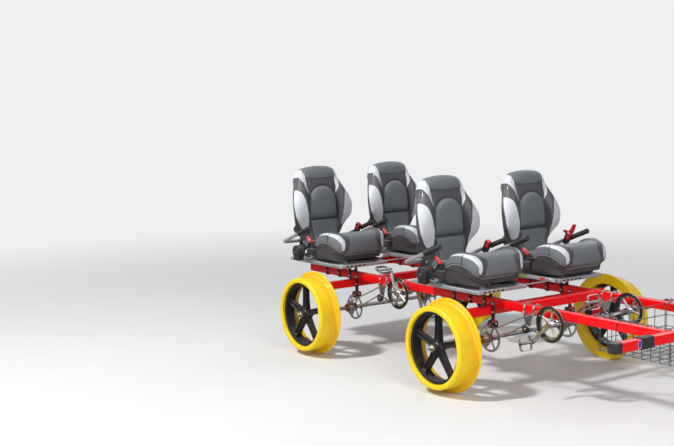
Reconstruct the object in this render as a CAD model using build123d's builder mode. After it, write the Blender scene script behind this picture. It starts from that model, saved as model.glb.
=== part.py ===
from build123d import *
from math import asin, atan2, cos, hypot, pi, radians, sin, tan
import os

os.makedirs("parts", exist_ok=True)

# Four-seat pedal railway handcar. Lengths are in millimetres, angles in degrees.
# +X is the travel direction, +Y the left side, +Z up. z = 0 is the bottom of the wheel flanges,
# and x = 0 is the middle of the overall length.

# Layout
OVERALL_LENGTH = 3290.0
FRONT_OVERHANG = 1376.0        # front axle to the front of the bumper caps
WHEELBASE = 1380.0
TREAD_R = 254.0
FLANGE_HEIGHT = 33.0
WHEEL_INNER_Y = 692.0          # back of the flange, for 1435 mm track
WHEEL_WIDTH = 140.0

# Square tube of the frame
TUBE = 50.8
TUBE_WALL = 3.0
TUBE_CORNER = 4.0
SIDE_TUBE_Y = 340.6
SIDE_TOP_Z = 537.0
BUMPER_HALF_WIDTH = 803.0
CARRIER_HALF_WIDTH = 655.0
CROSS_TUBE_X = 245.0           # cross tube's centre, forward of each axle
TAIL_TUBE_INSET = 90.0

# Rubber and plastic on the tubes
CAP_WALL = 4.0
CAP_DEPTH = 48.0
SLEEVE_WALL = 6.0
SLEEVE_WIDTH = 100.0
SLEEVE_Y = 560.0
PLUG_HEAD = 5.0
PLUG_STUB = 25.0
SNUG_FIT = 0.2
JOIN = 1.0                     # overlap of forms that are fused

# Axles and their bearings
SHAFT_R = 12.5
SHAFT_HALF_LENGTH = 850.0
SHAFT_CHAMFER = 2.0
RUNNING_FIT = 0.05
HANGER_Y = 615.0
HANGER_PLATE = 10.0
HANGER_TOP_WIDTH = 50.0
HANGER_TOP_DEPTH = 10.0
HANGER_MARGIN = 6.0            # of the plate round the housing
HOUSING_R = 36.0
HOUSING_WIDTH = 36.0

# Tread ring
FLANGE_WIDTH = 16.0
FLANGE_ROOT = 12.0             # slope from the flange to the tread
FLANGE_CHAMFER = 3.0
RING_CHAMFER = 8.0
RING_BORE_R = 219.0

# Moulded five-spoke wheel
RIM_RECESS = 20.0
RIM_WIDTH = 72.0
RIM_WALL = 14.0
RIM_LIP = 6.0
SPOKES = 5
SPOKE_ROOT_WIDTH = 50.0
SPOKE_TIP_WIDTH = 36.0
SPOKE_THICKNESS = 34.0
SPOKE_RIB = 8.0
SPOKE_CHANNEL = 9.0
SPOKE_SINK = 5.0               # into the hub and the rim
MAG_HUB_R = 34.0
MAG_HUB_WIDTH = 86.0

# Chain drive. The chain plane lies to the right of its side tube's centre.
CHAIN_PITCH = 12.7
CHAIN_LINE = 70.0
CHAINRING_TEETH = 48
SPROCKET_TEETH = 16
ROLLER_R = 3.9
TOOTH_ROOT_WIDTH = 7.0
TOOTH_TIP_WIDTH = 2.6
TOOTH_REACH = 3.3
SPROCKET_THICKNESS = 2.4
PLATE_HEIGHT = 8.5
PLATE_THICKNESS = 1.4
CHAIN_INNER_WIDTH = 5.0
PIN_SPACING = 8 * CHAIN_PITCH
PIN_BLOCK = 6.0
IDLER_X = 356.0                # forward of the axle
IDLER_Z = 404.0
IDLER_R = 20.0
IDLER_PIN_R = 6.0
IDLER_PIN_PAST = 4.0           # beyond the chain's outer plate
HUB_R = 22.0
HUB_BEHIND_CHAIN = 22.0        # outward of the chain plane
HUB_BEYOND_DISC = 12.0
FREEWHEEL_R = 26.5
FREEWHEEL_WIDTH = 34.0
FREEWHEEL_INSET = 20.0         # its inner end from the chain plane
CLUSTER = ((20, 8.0), (24, 13.5))     # teeth of a spare sprocket, its distance inward of the chain plane
DISC_R = 90.0
DISC_RING = 17.0
DISC_THICKNESS = 2.4
DISC_OFFSET = 51.0             # inward of the chain plane
DISC_ARMS = 6
DISC_ARM_ROOT = 15.0
DISC_ARM_TIP = 9.0
DISC_ARM_SWEEP = 5.0           # each end to its side of the radius

# Brake caliper
CALIPER_LENGTH = 56.0
CALIPER_WIDTH = 38.0
CALIPER_HEIGHT = 46.0
CALIPER_GAP = 3.0              # each side of the disc
CALIPER_COVER = 22.0           # how far it reaches over the disc's edge
CALIPER_PLATE = 6.0
CALIPER_PLATE_START = 30.0     # above the caliper's bottom

# Bottom brackets and cranks
CRANK_X = 558.0                # crank axis forward of its axle
SADDLE_PLATE = 3.0
SHELL_R = 20.0
SHELL_HALF_WIDTH = 34.0
SHELL_NECK = 32.0
SPINDLE_R = 9.0
CRANK_ARM = 170.0
ARM_THICKNESS = 14.0
ARM_ROOT_R = 17.0
ARM_TIP_R = 13.0
ARM_OUTER = 100.0              # outer face of each arm from the tube's centre
GUARD_R = 107.0
GUARD_RING = 19.0
GUARD_THICKNESS = 8.0
GUARD_GAP = 2.0
SPIDER_HUB_R = 24.0
SPIDER_RING = 17.0
SPIDER_ARM_WIDTH = 15.0
SPIDER_ARMS = 5
SPIDER_POST_R = 6.0
SPIDER_BARREL_R = 15.0
GUARD_BOSS_R = 9.0
CLAMP_XS = (296.0, 372.0)      # clamp straps, forward of the axle
CLAMP_STRAP = 7.0
CLAMP_WIDTH = 16.0
BRACKET_PLATE = 6.0
IDLER_WEB_GAP = 12.0           # from the chain to the idler's plate
IDLER_WEB_WIDTH = 70.0
IDLER_BOSS_R = 15.0

# Pedals
PEDAL_WIDTH = 92.0
PEDAL_LENGTH = 88.0
PEDAL_HEIGHT = 26.0
PEDAL_FRAME = 9.0
PEDAL_AXLE_R = 8.0
PEDAL_GAP = 8.0

# Seat trays
TRAY_TOP_Z = 608.0
TRAY_SHEET = 3.0
TRAY_HALF_WIDTH = 205.0
TRAY_FRONT = 98.0              # forward of the axle
TRAY_REAR = -530.0
TRAY_LIP = 22.0
TRAY_BAR_WIDTH = 25.0
RISER_XS = (-330.0, -180.0, -52.0)
RISER_WIDTH = 22.0
RISER_LEG = 6.0
SLIDE_Y = 130.0
SLIDE_HEIGHT = 26.0
SLIDE_BASE = 46.0
SLIDE_HEAD = 26.0
SLIDE_FOOT = 4.0
SLIDE_INSET = 20.0             # behind the tray's front edge

# Seats, about the axle's x and the side tube's y
SEAT_GAP = 0.4
SEAT_SLIDES = {                # how far forward each seat stands on its slides
    ("front", "right"): 0.0,
    ("front", "left"): 65.0,
    ("rear", "right"): 0.0,
    ("rear", "left"): 0.0,
}
CUSHION_HEIGHT = 188.0
CUSHION_FRONT = 88.0
CUSHION_HALF_WIDTH = 236.0
CUSHION_CHIN = ((40.0, 0.0), (8.0, 30.0), (0.0, 90.0))        # back from the front, above the bottom
CUSHION_ROLL = ((20.0, 20.0), (70.0, 0.0))                    # back from the front, below the top
CUSHION_DIP = ((230.0, 44.0), 78.0)                           # middle of the seat, drop of the rear
CUSHION_CORNER = ((150.0, 0.0), (30.0, 23.0), (0.0, 71.0))    # back from the front, in from the side
BACK_LEAN = 10.7
BACK_X = -350.0                # front face of the back, at BACK_Z
BACK_Z = 713.0
BACK_THICKNESS = 80.0
BACK_BOTTOM = -50.0
BACK_TOP = 568.0
BACK_FOOT_HALF_WIDTH = 125.0
BACK_WAIST = (136.0, 88.0)     # half width, height up the back
BACK_CURVES = (  # half width and height of each arc's middle, then of its end
    ((215.0, 140.0), (262.0, 235.0)),
    ((247.0, 370.0), (178.0, 480.0)),
    ((160.0, 538.0), (105.0, 562.0)),
    ((50.0, 566.0), (0.0, BACK_TOP)),
)

# Handle bars
HANDLE_R = 12.7
HANDLE_Y = 280.0
HANDLE_BEND_X = -518.0
HANDLE_BEND_Z = 721.0
HANDLE_ARM = 381.0
HANDLE_RISE = 21.2
HANDLE_BEND_R = 50.0
GRIP_R = 18.0
GRIP_LENGTH = 155.0
GRIP_END = 4.0                 # closed end beyond the bar's tip
BRACKET_Y = 120.0
BRACKET_THICKNESS = 6.0
BRACKET_HEAD = 18.0            # above the handle bar's centre
BRACKET_NOSE = 14.0            # behind it
BRACKET_INSET = 2.0            # before the tray's rear edge

# Seat belt units
RETRACTOR_LENGTH = 70.0
RETRACTOR_WIDTH = 46.0
RETRACTOR_HEIGHT = 74.0
BELT_ROUND = 8.0
LUG_OVERLAP = 20.0             # on the tray
LUG_SHEET = 4.0
STALK_FOOT = 24.0
STALK_TIP = 16.0
STALK_THICKNESS = 6.0
BUCKLE_LENGTH = 68.0
BUCKLE_HEIGHT = 36.0
BUCKLE_WIDTH = 20.0
BUCKLES = (  # side of the seat, distance from its middle, foot x, buckle centre x and z, slope of the buckle
    (-1, 268.0, -330.0, -214.0, 742.0, 50.0),
    (1, 250.0, -392.0, -312.0, 798.0, 62.0),
)

# Brake lever
LEVER_BEHIND_GRIP = 30.0
LEVER_CLAMP_WALL = 5.0
LEVER_CLAMP_WIDTH = 30.0
LEVER_THICKNESS = 16.0
LEVER_OUTLINE = (  # forward of the clamp, above the handle bar's centre
    (0.0, 15.7), (26.0, 32.7), (52.0, 62.0), (66.0, 96.0), (50.0, 104.0),
    (30.0, 70.0), (-6.0, 52.0), (-30.0, 60.0), (-34.0, 44.0), (-8.0, 34.0),
)

# Wire basket
BASKET_REAR = 812.0            # forward of the front axle
BASKET_FRONT = 1300.0
BASKET_HALF_WIDTH = 296.0
BASKET_BOTTOM_Z = 335.0
WIRE = 5.0
BASKET_HOOPS = 9
BASKET_RUNS = 7
BASKET_LEVELS = 3
HOOK_REACH = 14.0              # onto the side tube

# What follows from them
half_length = OVERALL_LENGTH / 2
front_axle_x = half_length - FRONT_OVERHANG
axle_z = TREAD_R + FLANGE_HEIGHT
side_mid_z = SIDE_TOP_Z - TUBE / 2
side_bottom_z = SIDE_TOP_Z - TUBE
carrier_mid_z = side_bottom_z - TUBE / 2
carrier_bottom_z = side_bottom_z - TUBE
bumper_front_x = half_length - CAP_WALL
bumper_rear_x = bumper_front_x - TUBE
side_rear_x = -half_length + PLUG_HEAD
crank_z = side_bottom_z - SADDLE_PLATE - SHELL_R
chain_half_width = CHAIN_INNER_WIDTH / 2 + PLATE_THICKNESS
lean = radians(BACK_LEAN)
cushion_rear = BACK_X - BACK_BOTTOM * sin(lean) + SEAT_GAP

AXLES = (  # name, x of the axle
    ("front", front_axle_x),
    ("rear", front_axle_x - WHEELBASE),
)
SIDES = (  # name, sign of y
    ("right", -1),
    ("left", 1),
)
CRANKS = (  # axle, side, rest angle of the right-hand arm, tilt of the pedals
    ("front", "right", 225.0, 60.0),
    ("front", "left", 202.0, 25.0),
    ("rear", "right", 110.0, -20.0),
    ("rear", "left", 60.0, 10.0),
)


def across(x, y, z):
    """Plane whose sketch shows X and Z, and whose extrusions run to the right."""
    return Plane(origin=(x, y, z), x_dir=(1, 0, 0), z_dir=(0, -1, 0))


def lengthwise(x, y, z):
    """Plane whose sketch shows Y and Z, and whose extrusions run forward."""
    return Plane(origin=(x, y, z), x_dir=(0, 1, 0), z_dir=(1, 0, 0))


def wheel_plane(x, sign):
    """Plane of a wheel's profile: local X runs outward from the centreline, local Y is the radius."""
    return Plane(origin=(x, 0, axle_z), x_dir=(0, sign, 0), z_dir=(sign, 0, 0))


def tube_profile():
    """Outline of the frame tube."""
    RectangleRounded(TUBE, TUBE, TUBE_CORNER)
    Rectangle(TUBE - 2 * TUBE_WALL, TUBE - 2 * TUBE_WALL, mode=Mode.SUBTRACT)


def pitch_radius(teeth):
    return CHAIN_PITCH / 2 / sin(pi / teeth)


def toothed_profile(teeth):
    """Outline of a chain wheel, about the sketch's origin."""
    pitch_r = pitch_radius(teeth)
    corners = []
    for tooth in range(teeth):
        for radius, offset in (
            (pitch_r - ROLLER_R, -TOOTH_ROOT_WIDTH / 2),
            (pitch_r + TOOTH_REACH, -TOOTH_TIP_WIDTH / 2),
            (pitch_r + TOOTH_REACH, TOOTH_TIP_WIDTH / 2),
            (pitch_r - ROLLER_R, TOOTH_ROOT_WIDTH / 2),
        ):
            corner_angle = 2 * pi * tooth / teeth + offset / radius
            corners.append((radius * cos(corner_angle), radius * sin(corner_angle)))
    Polygon(*corners, align=None)


# Outlines of the chain wheels
chain_wheels = {}
for teeth in (CHAINRING_TEETH, SPROCKET_TEETH) + tuple(row[0] for row in CLUSTER):
    with BuildSketch() as chain_wheel:
        toothed_profile(teeth)
    chain_wheels[teeth] = chain_wheel.sketch

# Frame tubes
for side, sign in SIDES:
    with BuildPart() as side_tube:
        with BuildSketch(lengthwise(side_rear_x, sign * SIDE_TUBE_Y, side_mid_z)):
            tube_profile()
        extrude(amount=bumper_rear_x - side_rear_x)
    side_tube.part.label = f"side_tube_{side}"
    export_step(side_tube.part, f"parts/side_tube_{side}.step")

side_gap = SIDE_TUBE_Y - TUBE / 2
LATERAL_TUBES = (  # name, x, z, half width
    ("front_bumper_tube", bumper_front_x - TUBE / 2, side_mid_z, BUMPER_HALF_WIDTH - CAP_WALL),
    ("front_cross_tube", AXLES[0][1] + CROSS_TUBE_X, side_mid_z, side_gap),
    ("rear_cross_tube", AXLES[1][1] + CROSS_TUBE_X, side_mid_z, side_gap),
    ("tail_cross_tube", side_rear_x + TAIL_TUBE_INSET, side_mid_z, side_gap),
    ("front_axle_carrier", AXLES[0][1], carrier_mid_z, CARRIER_HALF_WIDTH),
    ("rear_axle_carrier", AXLES[1][1], carrier_mid_z, CARRIER_HALF_WIDTH),
)
for name, x, z, half_width in LATERAL_TUBES:
    with BuildPart() as lateral_tube:
        with BuildSketch(across(x, half_width, z)):
            tube_profile()
        extrude(amount=2 * half_width)
    lateral_tube.part.label = name
    export_step(lateral_tube.part, f"parts/{name}.step")

# Rubber caps and sleeves of the bumper
bumper_mid_x = bumper_front_x - TUBE / 2
cap_size = TUBE + 2 * CAP_WALL
with BuildPart() as bumper_end_caps:
    for side, sign in SIDES:
        end_plane = Plane(origin=(bumper_mid_x, sign * BUMPER_HALF_WIDTH, side_mid_z), z_dir=(0, -sign, 0))
        with BuildSketch(end_plane):
            RectangleRounded(cap_size, cap_size, TUBE_CORNER)
        extrude(amount=CAP_DEPTH)
        with BuildSketch(end_plane.offset(CAP_WALL)):
            RectangleRounded(TUBE + 2 * SNUG_FIT, TUBE + 2 * SNUG_FIT, TUBE_CORNER)
        extrude(amount=CAP_DEPTH, mode=Mode.SUBTRACT)
bumper_end_caps.part.label = "bumper_end_caps"
export_step(bumper_end_caps.part, "parts/bumper_end_caps.step")

sleeve_size = TUBE + 2 * SNUG_FIT + 2 * SLEEVE_WALL
with BuildPart() as bumper_sleeves:
    for side, sign in SIDES:
        with BuildSketch(across(bumper_mid_x, sign * SLEEVE_Y + SLEEVE_WIDTH / 2, side_mid_z)):
            RectangleRounded(TUBE + 2 * CAP_WALL, sleeve_size, TUBE_CORNER)
            RectangleRounded(TUBE + 2 * SNUG_FIT, TUBE + 2 * SNUG_FIT, TUBE_CORNER, mode=Mode.SUBTRACT)
        extrude(amount=SLEEVE_WIDTH)
bumper_sleeves.part.label = "bumper_sleeves"
export_step(bumper_sleeves.part, "parts/bumper_sleeves.step")

plug_stub = TUBE - 2 * TUBE_WALL - 2 * SNUG_FIT
with BuildPart() as rear_end_plugs:
    for side, sign in SIDES:
        plug_plane = lengthwise(-half_length, sign * SIDE_TUBE_Y, side_mid_z)
        with BuildSketch(plug_plane):
            RectangleRounded(TUBE, TUBE, TUBE_CORNER)
        extrude(amount=PLUG_HEAD)
        with BuildSketch(plug_plane.offset(PLUG_HEAD)):
            Rectangle(plug_stub, plug_stub)
        extrude(amount=PLUG_STUB)
rear_end_plugs.part.label = "rear_end_plugs"
export_step(rear_end_plugs.part, "parts/rear_end_plugs.step")

# Bearing hangers under the ends of the axle carriers
for axle, axle_x in AXLES:
    with BuildPart() as hangers:
        for side, sign in SIDES:
            with BuildSketch(across(axle_x, sign * HANGER_Y + HANGER_PLATE / 2, axle_z)):
                Circle(HOUSING_R + HANGER_MARGIN)
                with Locations((0, carrier_bottom_z - axle_z - HANGER_TOP_DEPTH / 2)):
                    Rectangle(HANGER_TOP_WIDTH, HANGER_TOP_DEPTH)
                make_hull()
            extrude(amount=HANGER_PLATE)
            with BuildSketch(across(axle_x, sign * HANGER_Y + HOUSING_WIDTH / 2, axle_z)):
                Circle(HOUSING_R)
            extrude(amount=HOUSING_WIDTH)
            with BuildSketch(across(axle_x, sign * HANGER_Y + HOUSING_WIDTH / 2, axle_z)):
                Circle(SHAFT_R + RUNNING_FIT)
            extrude(amount=HOUSING_WIDTH, mode=Mode.SUBTRACT)
    hangers.part.label = f"{axle}_bearing_hangers"
    export_step(hangers.part, f"parts/{axle}_bearing_hangers.step")

# Axle shafts
for axle, axle_x in AXLES:
    with BuildPart() as shaft:
        with BuildSketch(across(axle_x, SHAFT_HALF_LENGTH, axle_z)):
            Circle(SHAFT_R)
        extrude(amount=2 * SHAFT_HALF_LENGTH)
        chamfer(shaft.edges().filter_by(GeomType.CIRCLE), SHAFT_CHAMFER)
    shaft.part.label = f"{axle}_axle_shaft"
    export_step(shaft.part, f"parts/{axle}_axle_shaft.step")

# Tread rings: a smooth tread with a flange on its inner side
ring_outer_y = WHEEL_INNER_Y + WHEEL_WIDTH
flange_r = TREAD_R + FLANGE_HEIGHT
flange_face_y = WHEEL_INNER_Y + FLANGE_WIDTH
for axle, axle_x in AXLES:
    for side, sign in SIDES:
        with BuildPart() as ring:
            with BuildSketch(wheel_plane(axle_x, sign)):
                Polygon(
                    (WHEEL_INNER_Y, RING_BORE_R),
                    (WHEEL_INNER_Y, flange_r - FLANGE_CHAMFER),
                    (WHEEL_INNER_Y + FLANGE_CHAMFER, flange_r),
                    (flange_face_y - FLANGE_CHAMFER, flange_r),
                    (flange_face_y, flange_r - FLANGE_CHAMFER),
                    (flange_face_y, TREAD_R + FLANGE_ROOT),
                    (flange_face_y + FLANGE_ROOT, TREAD_R),
                    (ring_outer_y - RING_CHAMFER, TREAD_R),
                    (ring_outer_y, TREAD_R - RING_CHAMFER),
                    (ring_outer_y, RING_BORE_R),
                    align=None,
                )
            revolve(axis=Axis((axle_x, 0, axle_z), (0, 1, 0)))
        ring.part.label = f"{axle}_tread_ring_{side}"
        export_step(ring.part, f"parts/{axle}_tread_ring_{side}.step")

# Moulded five-spoke wheels, set into the tread rings
rim_outer_y = ring_outer_y - RIM_RECESS
rim_inner_y = rim_outer_y - RIM_WIDTH
rim_r = RING_BORE_R - SNUG_FIT
rim_mid_y = (rim_outer_y + rim_inner_y) / 2
spoke_root_r = MAG_HUB_R - SPOKE_SINK
spoke_tip_r = rim_r - RIM_WALL + SPOKE_SINK
for axle, axle_x in AXLES:
    with BuildPart() as wheels:
        for side, sign in SIDES:
            with BuildSketch(wheel_plane(axle_x, sign)):
                Polygon(
                    (rim_inner_y, rim_r),
                    (rim_inner_y, rim_r - RIM_WALL - RIM_LIP),
                    (rim_inner_y + RIM_LIP, rim_r - RIM_WALL - RIM_LIP),
                    (rim_inner_y + 2 * RIM_LIP, rim_r - RIM_WALL),
                    (rim_outer_y - 2 * RIM_LIP, rim_r - RIM_WALL),
                    (rim_outer_y - RIM_LIP, rim_r - RIM_WALL - RIM_LIP),
                    (rim_outer_y, rim_r - RIM_WALL - RIM_LIP),
                    (rim_outer_y, rim_r),
                    align=None,
                )
                with Locations((rim_mid_y, (SHAFT_R + MAG_HUB_R) / 2)):
                    Rectangle(MAG_HUB_WIDTH, MAG_HUB_R - SHAFT_R)
            revolve(axis=Axis((axle_x, 0, axle_z), (0, 1, 0)))
            spoke_start = sign * rim_mid_y + SPOKE_THICKNESS / 2
            with BuildSketch(across(axle_x, spoke_start, axle_z)):
                with PolarLocations(0, SPOKES, start_angle=90):
                    Polygon(
                        (spoke_root_r, -SPOKE_ROOT_WIDTH / 2),
                        (spoke_tip_r, -SPOKE_TIP_WIDTH / 2),
                        (spoke_tip_r, SPOKE_TIP_WIDTH / 2),
                        (spoke_root_r, SPOKE_ROOT_WIDTH / 2),
                        align=None,
                    )
            extrude(amount=SPOKE_THICKNESS)
            channel_depth = SPOKE_THICKNESS / 2 if sign > 0 else SPOKE_CHANNEL - SPOKE_THICKNESS / 2
            channel_start = sign * rim_mid_y + channel_depth
            with BuildSketch(across(axle_x, channel_start, axle_z)):
                with PolarLocations(0, SPOKES, start_angle=90):
                    Polygon(
                        (MAG_HUB_R + SPOKE_RIB, -SPOKE_ROOT_WIDTH / 2 + SPOKE_RIB),
                        (spoke_tip_r - RIM_WALL, -SPOKE_TIP_WIDTH / 2 + SPOKE_RIB),
                        (spoke_tip_r - RIM_WALL, SPOKE_TIP_WIDTH / 2 - SPOKE_RIB),
                        (MAG_HUB_R + SPOKE_RIB, SPOKE_ROOT_WIDTH / 2 - SPOKE_RIB),
                        align=None,
                    )
            extrude(amount=SPOKE_CHANNEL, mode=Mode.SUBTRACT)
    wheels.part.label = f"{axle}_spoked_wheels"
    export_step(wheels.part, f"parts/{axle}_spoked_wheels.step")

# Drive hubs on the axles: a freewheel with its sprockets, and a brake disc
for axle, axle_x in AXLES:
    with BuildPart() as hubs:
        for side, sign in SIDES:
            chain_y = sign * SIDE_TUBE_Y - CHAIN_LINE
            disc_y = chain_y + DISC_OFFSET
            hub_end_y = disc_y + HUB_BEYOND_DISC
            hub_length = hub_end_y - chain_y + HUB_BEHIND_CHAIN
            with BuildSketch(across(axle_x, hub_end_y, axle_z)):
                Circle(HUB_R)
            extrude(amount=hub_length)
            with BuildSketch(across(axle_x, chain_y + FREEWHEEL_INSET, axle_z)):
                Circle(FREEWHEEL_R)
            extrude(amount=FREEWHEEL_WIDTH)
            for teeth, inset in ((SPROCKET_TEETH, 0),) + CLUSTER:
                with BuildSketch(across(axle_x, chain_y + inset + SPROCKET_THICKNESS / 2, axle_z)):
                    add(chain_wheels[teeth])
                extrude(amount=SPROCKET_THICKNESS)
            with BuildSketch(across(axle_x, disc_y + DISC_THICKNESS / 2, axle_z)):
                Circle(DISC_R)
                Circle(DISC_R - DISC_RING, mode=Mode.SUBTRACT)
                with PolarLocations(0, DISC_ARMS):
                    Polygon(
                        (HUB_R - 4 * JOIN, -DISC_ARM_SWEEP - DISC_ARM_ROOT / 2),
                        (DISC_R - DISC_RING + JOIN, DISC_ARM_SWEEP - DISC_ARM_TIP / 2),
                        (DISC_R - DISC_RING + JOIN, DISC_ARM_SWEEP + DISC_ARM_TIP / 2),
                        (HUB_R - 4 * JOIN, -DISC_ARM_SWEEP + DISC_ARM_ROOT / 2),
                        align=None,
                    )
            extrude(amount=DISC_THICKNESS)
            with BuildSketch(across(axle_x, hub_end_y, axle_z)):
                Circle(SHAFT_R)
            extrude(amount=hub_length, mode=Mode.SUBTRACT)
    hubs.part.label = f"{axle}_drive_hubs"
    export_step(hubs.part, f"parts/{axle}_drive_hubs.step")

# Brake calipers: each hangs from the front of its carrier and straddles its disc's upper edge
caliper_bottom = axle_z + DISC_R - CALIPER_COVER
caliper_plate_x = TUBE / 2
caliper_plate_z = caliper_bottom + CALIPER_PLATE_START
with BuildPart() as calipers:
    for axle, axle_x in AXLES:
        for side, sign in SIDES:
            disc_y = sign * SIDE_TUBE_Y - CHAIN_LINE + DISC_OFFSET
            with BuildSketch(across(axle_x + caliper_plate_x, disc_y + CALIPER_WIDTH / 2, 0)):
                with Locations((CALIPER_PLATE / 2, (caliper_plate_z + side_bottom_z) / 2)):
                    Rectangle(CALIPER_PLATE, side_bottom_z - caliper_plate_z)
                with Locations((0, caliper_bottom + CALIPER_HEIGHT / 2)):
                    Rectangle(CALIPER_LENGTH, CALIPER_HEIGHT)
            extrude(amount=CALIPER_WIDTH)
            slot = DISC_THICKNESS + 2 * CALIPER_GAP
            with BuildSketch(across(axle_x, disc_y + slot / 2, axle_z)):
                Circle(DISC_R + CALIPER_GAP)
            extrude(amount=slot, mode=Mode.SUBTRACT)
calipers.part.label = "brake_calipers"
export_step(calipers.part, "parts/brake_calipers.step")


def belt_runs(pulleys):
    """Straight runs of a belt round pulleys, each (x, z, radius, turn), turn -1 where it bends backwards."""
    runs = []
    for number, (x0, z0, r0, turn0) in enumerate(pulleys):
        x1, z1, r1, turn1 = pulleys[(number + 1) % len(pulleys)]
        distance = hypot(x1 - x0, z1 - z0)
        heading = atan2(z1 - z0, x1 - x0) + asin((turn1 * r1 - turn0 * r0) / distance) * -1
        nx, nz = sin(heading), -cos(heading)
        runs.append(((x0 + turn0 * r0 * nx, z0 + turn0 * r0 * nz), (x1 + turn1 * r1 * nx, z1 + turn1 * r1 * nz)))
    return runs


def belt_lines(pulleys):
    """Closed line of a belt, in the current line builder."""
    runs = belt_runs(pulleys)
    for number, (start, end) in enumerate(runs):
        Line(start, end)
        x, z, radius, turn = pulleys[(number + 1) % len(pulleys)]
        following = runs[(number + 1) % len(runs)][0]
        first = atan2(end[1] - z, end[0] - x)
        last = atan2(following[1] - z, following[0] - x)
        sweep = (last - first) % (2 * pi) if turn > 0 else -((first - last) % (2 * pi))
        middle = (x + radius * cos(first + sweep / 2), z + radius * sin(first + sweep / 2))
        ThreePointArc(end, middle, following)


def chain_pulleys(axle_x, offset):
    """The chain's three wheels, with the chain's line moved outward by an offset."""
    return (
        (axle_x, axle_z, pitch_radius(SPROCKET_TEETH) + offset, 1),
        (axle_x + IDLER_X, IDLER_Z, IDLER_R - offset, -1),
        (axle_x + CRANK_X, crank_z, pitch_radius(CHAINRING_TEETH) + offset, 1),
    )


# Chains: side plates round the chainring, over the idler and round the sprocket, and some of their rollers
for axle, axle_x in AXLES:
    with BuildPart() as chains:
        for side, sign in SIDES:
            chain_y = sign * SIDE_TUBE_Y - CHAIN_LINE
            for plate_y in (chain_y + chain_half_width, chain_y - CHAIN_INNER_WIDTH / 2):
                with BuildSketch(across(0, plate_y, 0)):
                    with BuildLine():
                        belt_lines(chain_pulleys(axle_x, PLATE_HEIGHT / 2))
                    make_face()
                    with BuildLine():
                        belt_lines(chain_pulleys(axle_x, -PLATE_HEIGHT / 2))
                    make_face(mode=Mode.SUBTRACT)
                extrude(amount=PLATE_THICKNESS)
            with BuildSketch(across(0, chain_y + chain_half_width, 0)):
                for start, end in belt_runs(chain_pulleys(axle_x, 0)):
                    length = hypot(end[0] - start[0], end[1] - start[1])
                    count = int((length - PIN_SPACING) / PIN_SPACING)
                    for number in range(count + 1):
                        share = 0.5 + (number - count / 2) * PIN_SPACING / length
                        with Locations((
                            start[0] + (end[0] - start[0]) * share,
                            start[1] + (end[1] - start[1]) * share,
                        )):
                            Rectangle(PIN_BLOCK, PIN_BLOCK)
            extrude(amount=2 * chain_half_width)
    chains.part.label = f"{axle}_chains"
    export_step(chains.part, f"parts/{axle}_chains.step")

# Crank brackets: clamps on the side tube, a saddle plate, the bearing shell and the idler's plate
for axle, axle_x in AXLES:
    with BuildPart() as brackets:
        for side, sign in SIDES:
            tube_y = sign * SIDE_TUBE_Y
            chain_y = tube_y - CHAIN_LINE
            plate_rear = axle_x + CLAMP_XS[0] - CLAMP_WIDTH
            plate_front = axle_x + CRANK_X + SHELL_R
            with BuildSketch(across((plate_rear + plate_front) / 2, tube_y + SHELL_HALF_WIDTH, side_bottom_z)):
                with Locations((0, -SADDLE_PLATE / 2)):
                    Rectangle(plate_front - plate_rear, SADDLE_PLATE)
            extrude(amount=2 * SHELL_HALF_WIDTH)
            with BuildSketch(across(axle_x + CRANK_X, tube_y + SHELL_HALF_WIDTH, crank_z)):
                Circle(SHELL_R)
                with Locations((0, SHELL_R / 2)):
                    Rectangle(SHELL_NECK, SHELL_R)
            extrude(amount=2 * SHELL_HALF_WIDTH)
            for clamp_x in CLAMP_XS:
                with BuildSketch(lengthwise(axle_x + clamp_x, tube_y, side_mid_z)):
                    Rectangle(TUBE + 2 * CLAMP_STRAP, TUBE + 2 * CLAMP_STRAP)
                    RectangleRounded(TUBE, TUBE, TUBE_CORNER, mode=Mode.SUBTRACT)
                extrude(amount=CLAMP_WIDTH)
            idler_x = axle_x + IDLER_X
            web_y = chain_y + chain_half_width + IDLER_WEB_GAP
            with BuildSketch(across(idler_x, web_y + BRACKET_PLATE, IDLER_Z)):
                Circle(IDLER_BOSS_R)
                with Locations((0, side_bottom_z - IDLER_Z - SADDLE_PLATE)):
                    Rectangle(IDLER_WEB_WIDTH, 2 * SADDLE_PLATE)
                make_hull()
            extrude(amount=BRACKET_PLATE)
            with BuildSketch(across(idler_x, web_y + BRACKET_PLATE, side_bottom_z)):
                with Locations((0, -SADDLE_PLATE / 2)):
                    Rectangle(IDLER_WEB_WIDTH, SADDLE_PLATE)
            extrude(amount=-(tube_y - SHELL_HALF_WIDTH - web_y - BRACKET_PLATE) - JOIN)
            with BuildSketch(across(idler_x, web_y, IDLER_Z)):
                Circle(IDLER_PIN_R)
            extrude(amount=web_y - chain_y + chain_half_width + IDLER_PIN_PAST)
            with BuildSketch(across(idler_x, chain_y + chain_half_width, IDLER_Z)):
                Circle(IDLER_R - PLATE_HEIGHT / 2 - SNUG_FIT)
            extrude(amount=2 * chain_half_width)
            with BuildSketch(across(axle_x + CRANK_X, tube_y + SHELL_HALF_WIDTH, crank_z)):
                Circle(SPINDLE_R + RUNNING_FIT)
            extrude(amount=2 * SHELL_HALF_WIDTH, mode=Mode.SUBTRACT)
    brackets.part.label = f"{axle}_crank_brackets"
    export_step(brackets.part, f"parts/{axle}_crank_brackets.step")

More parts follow.
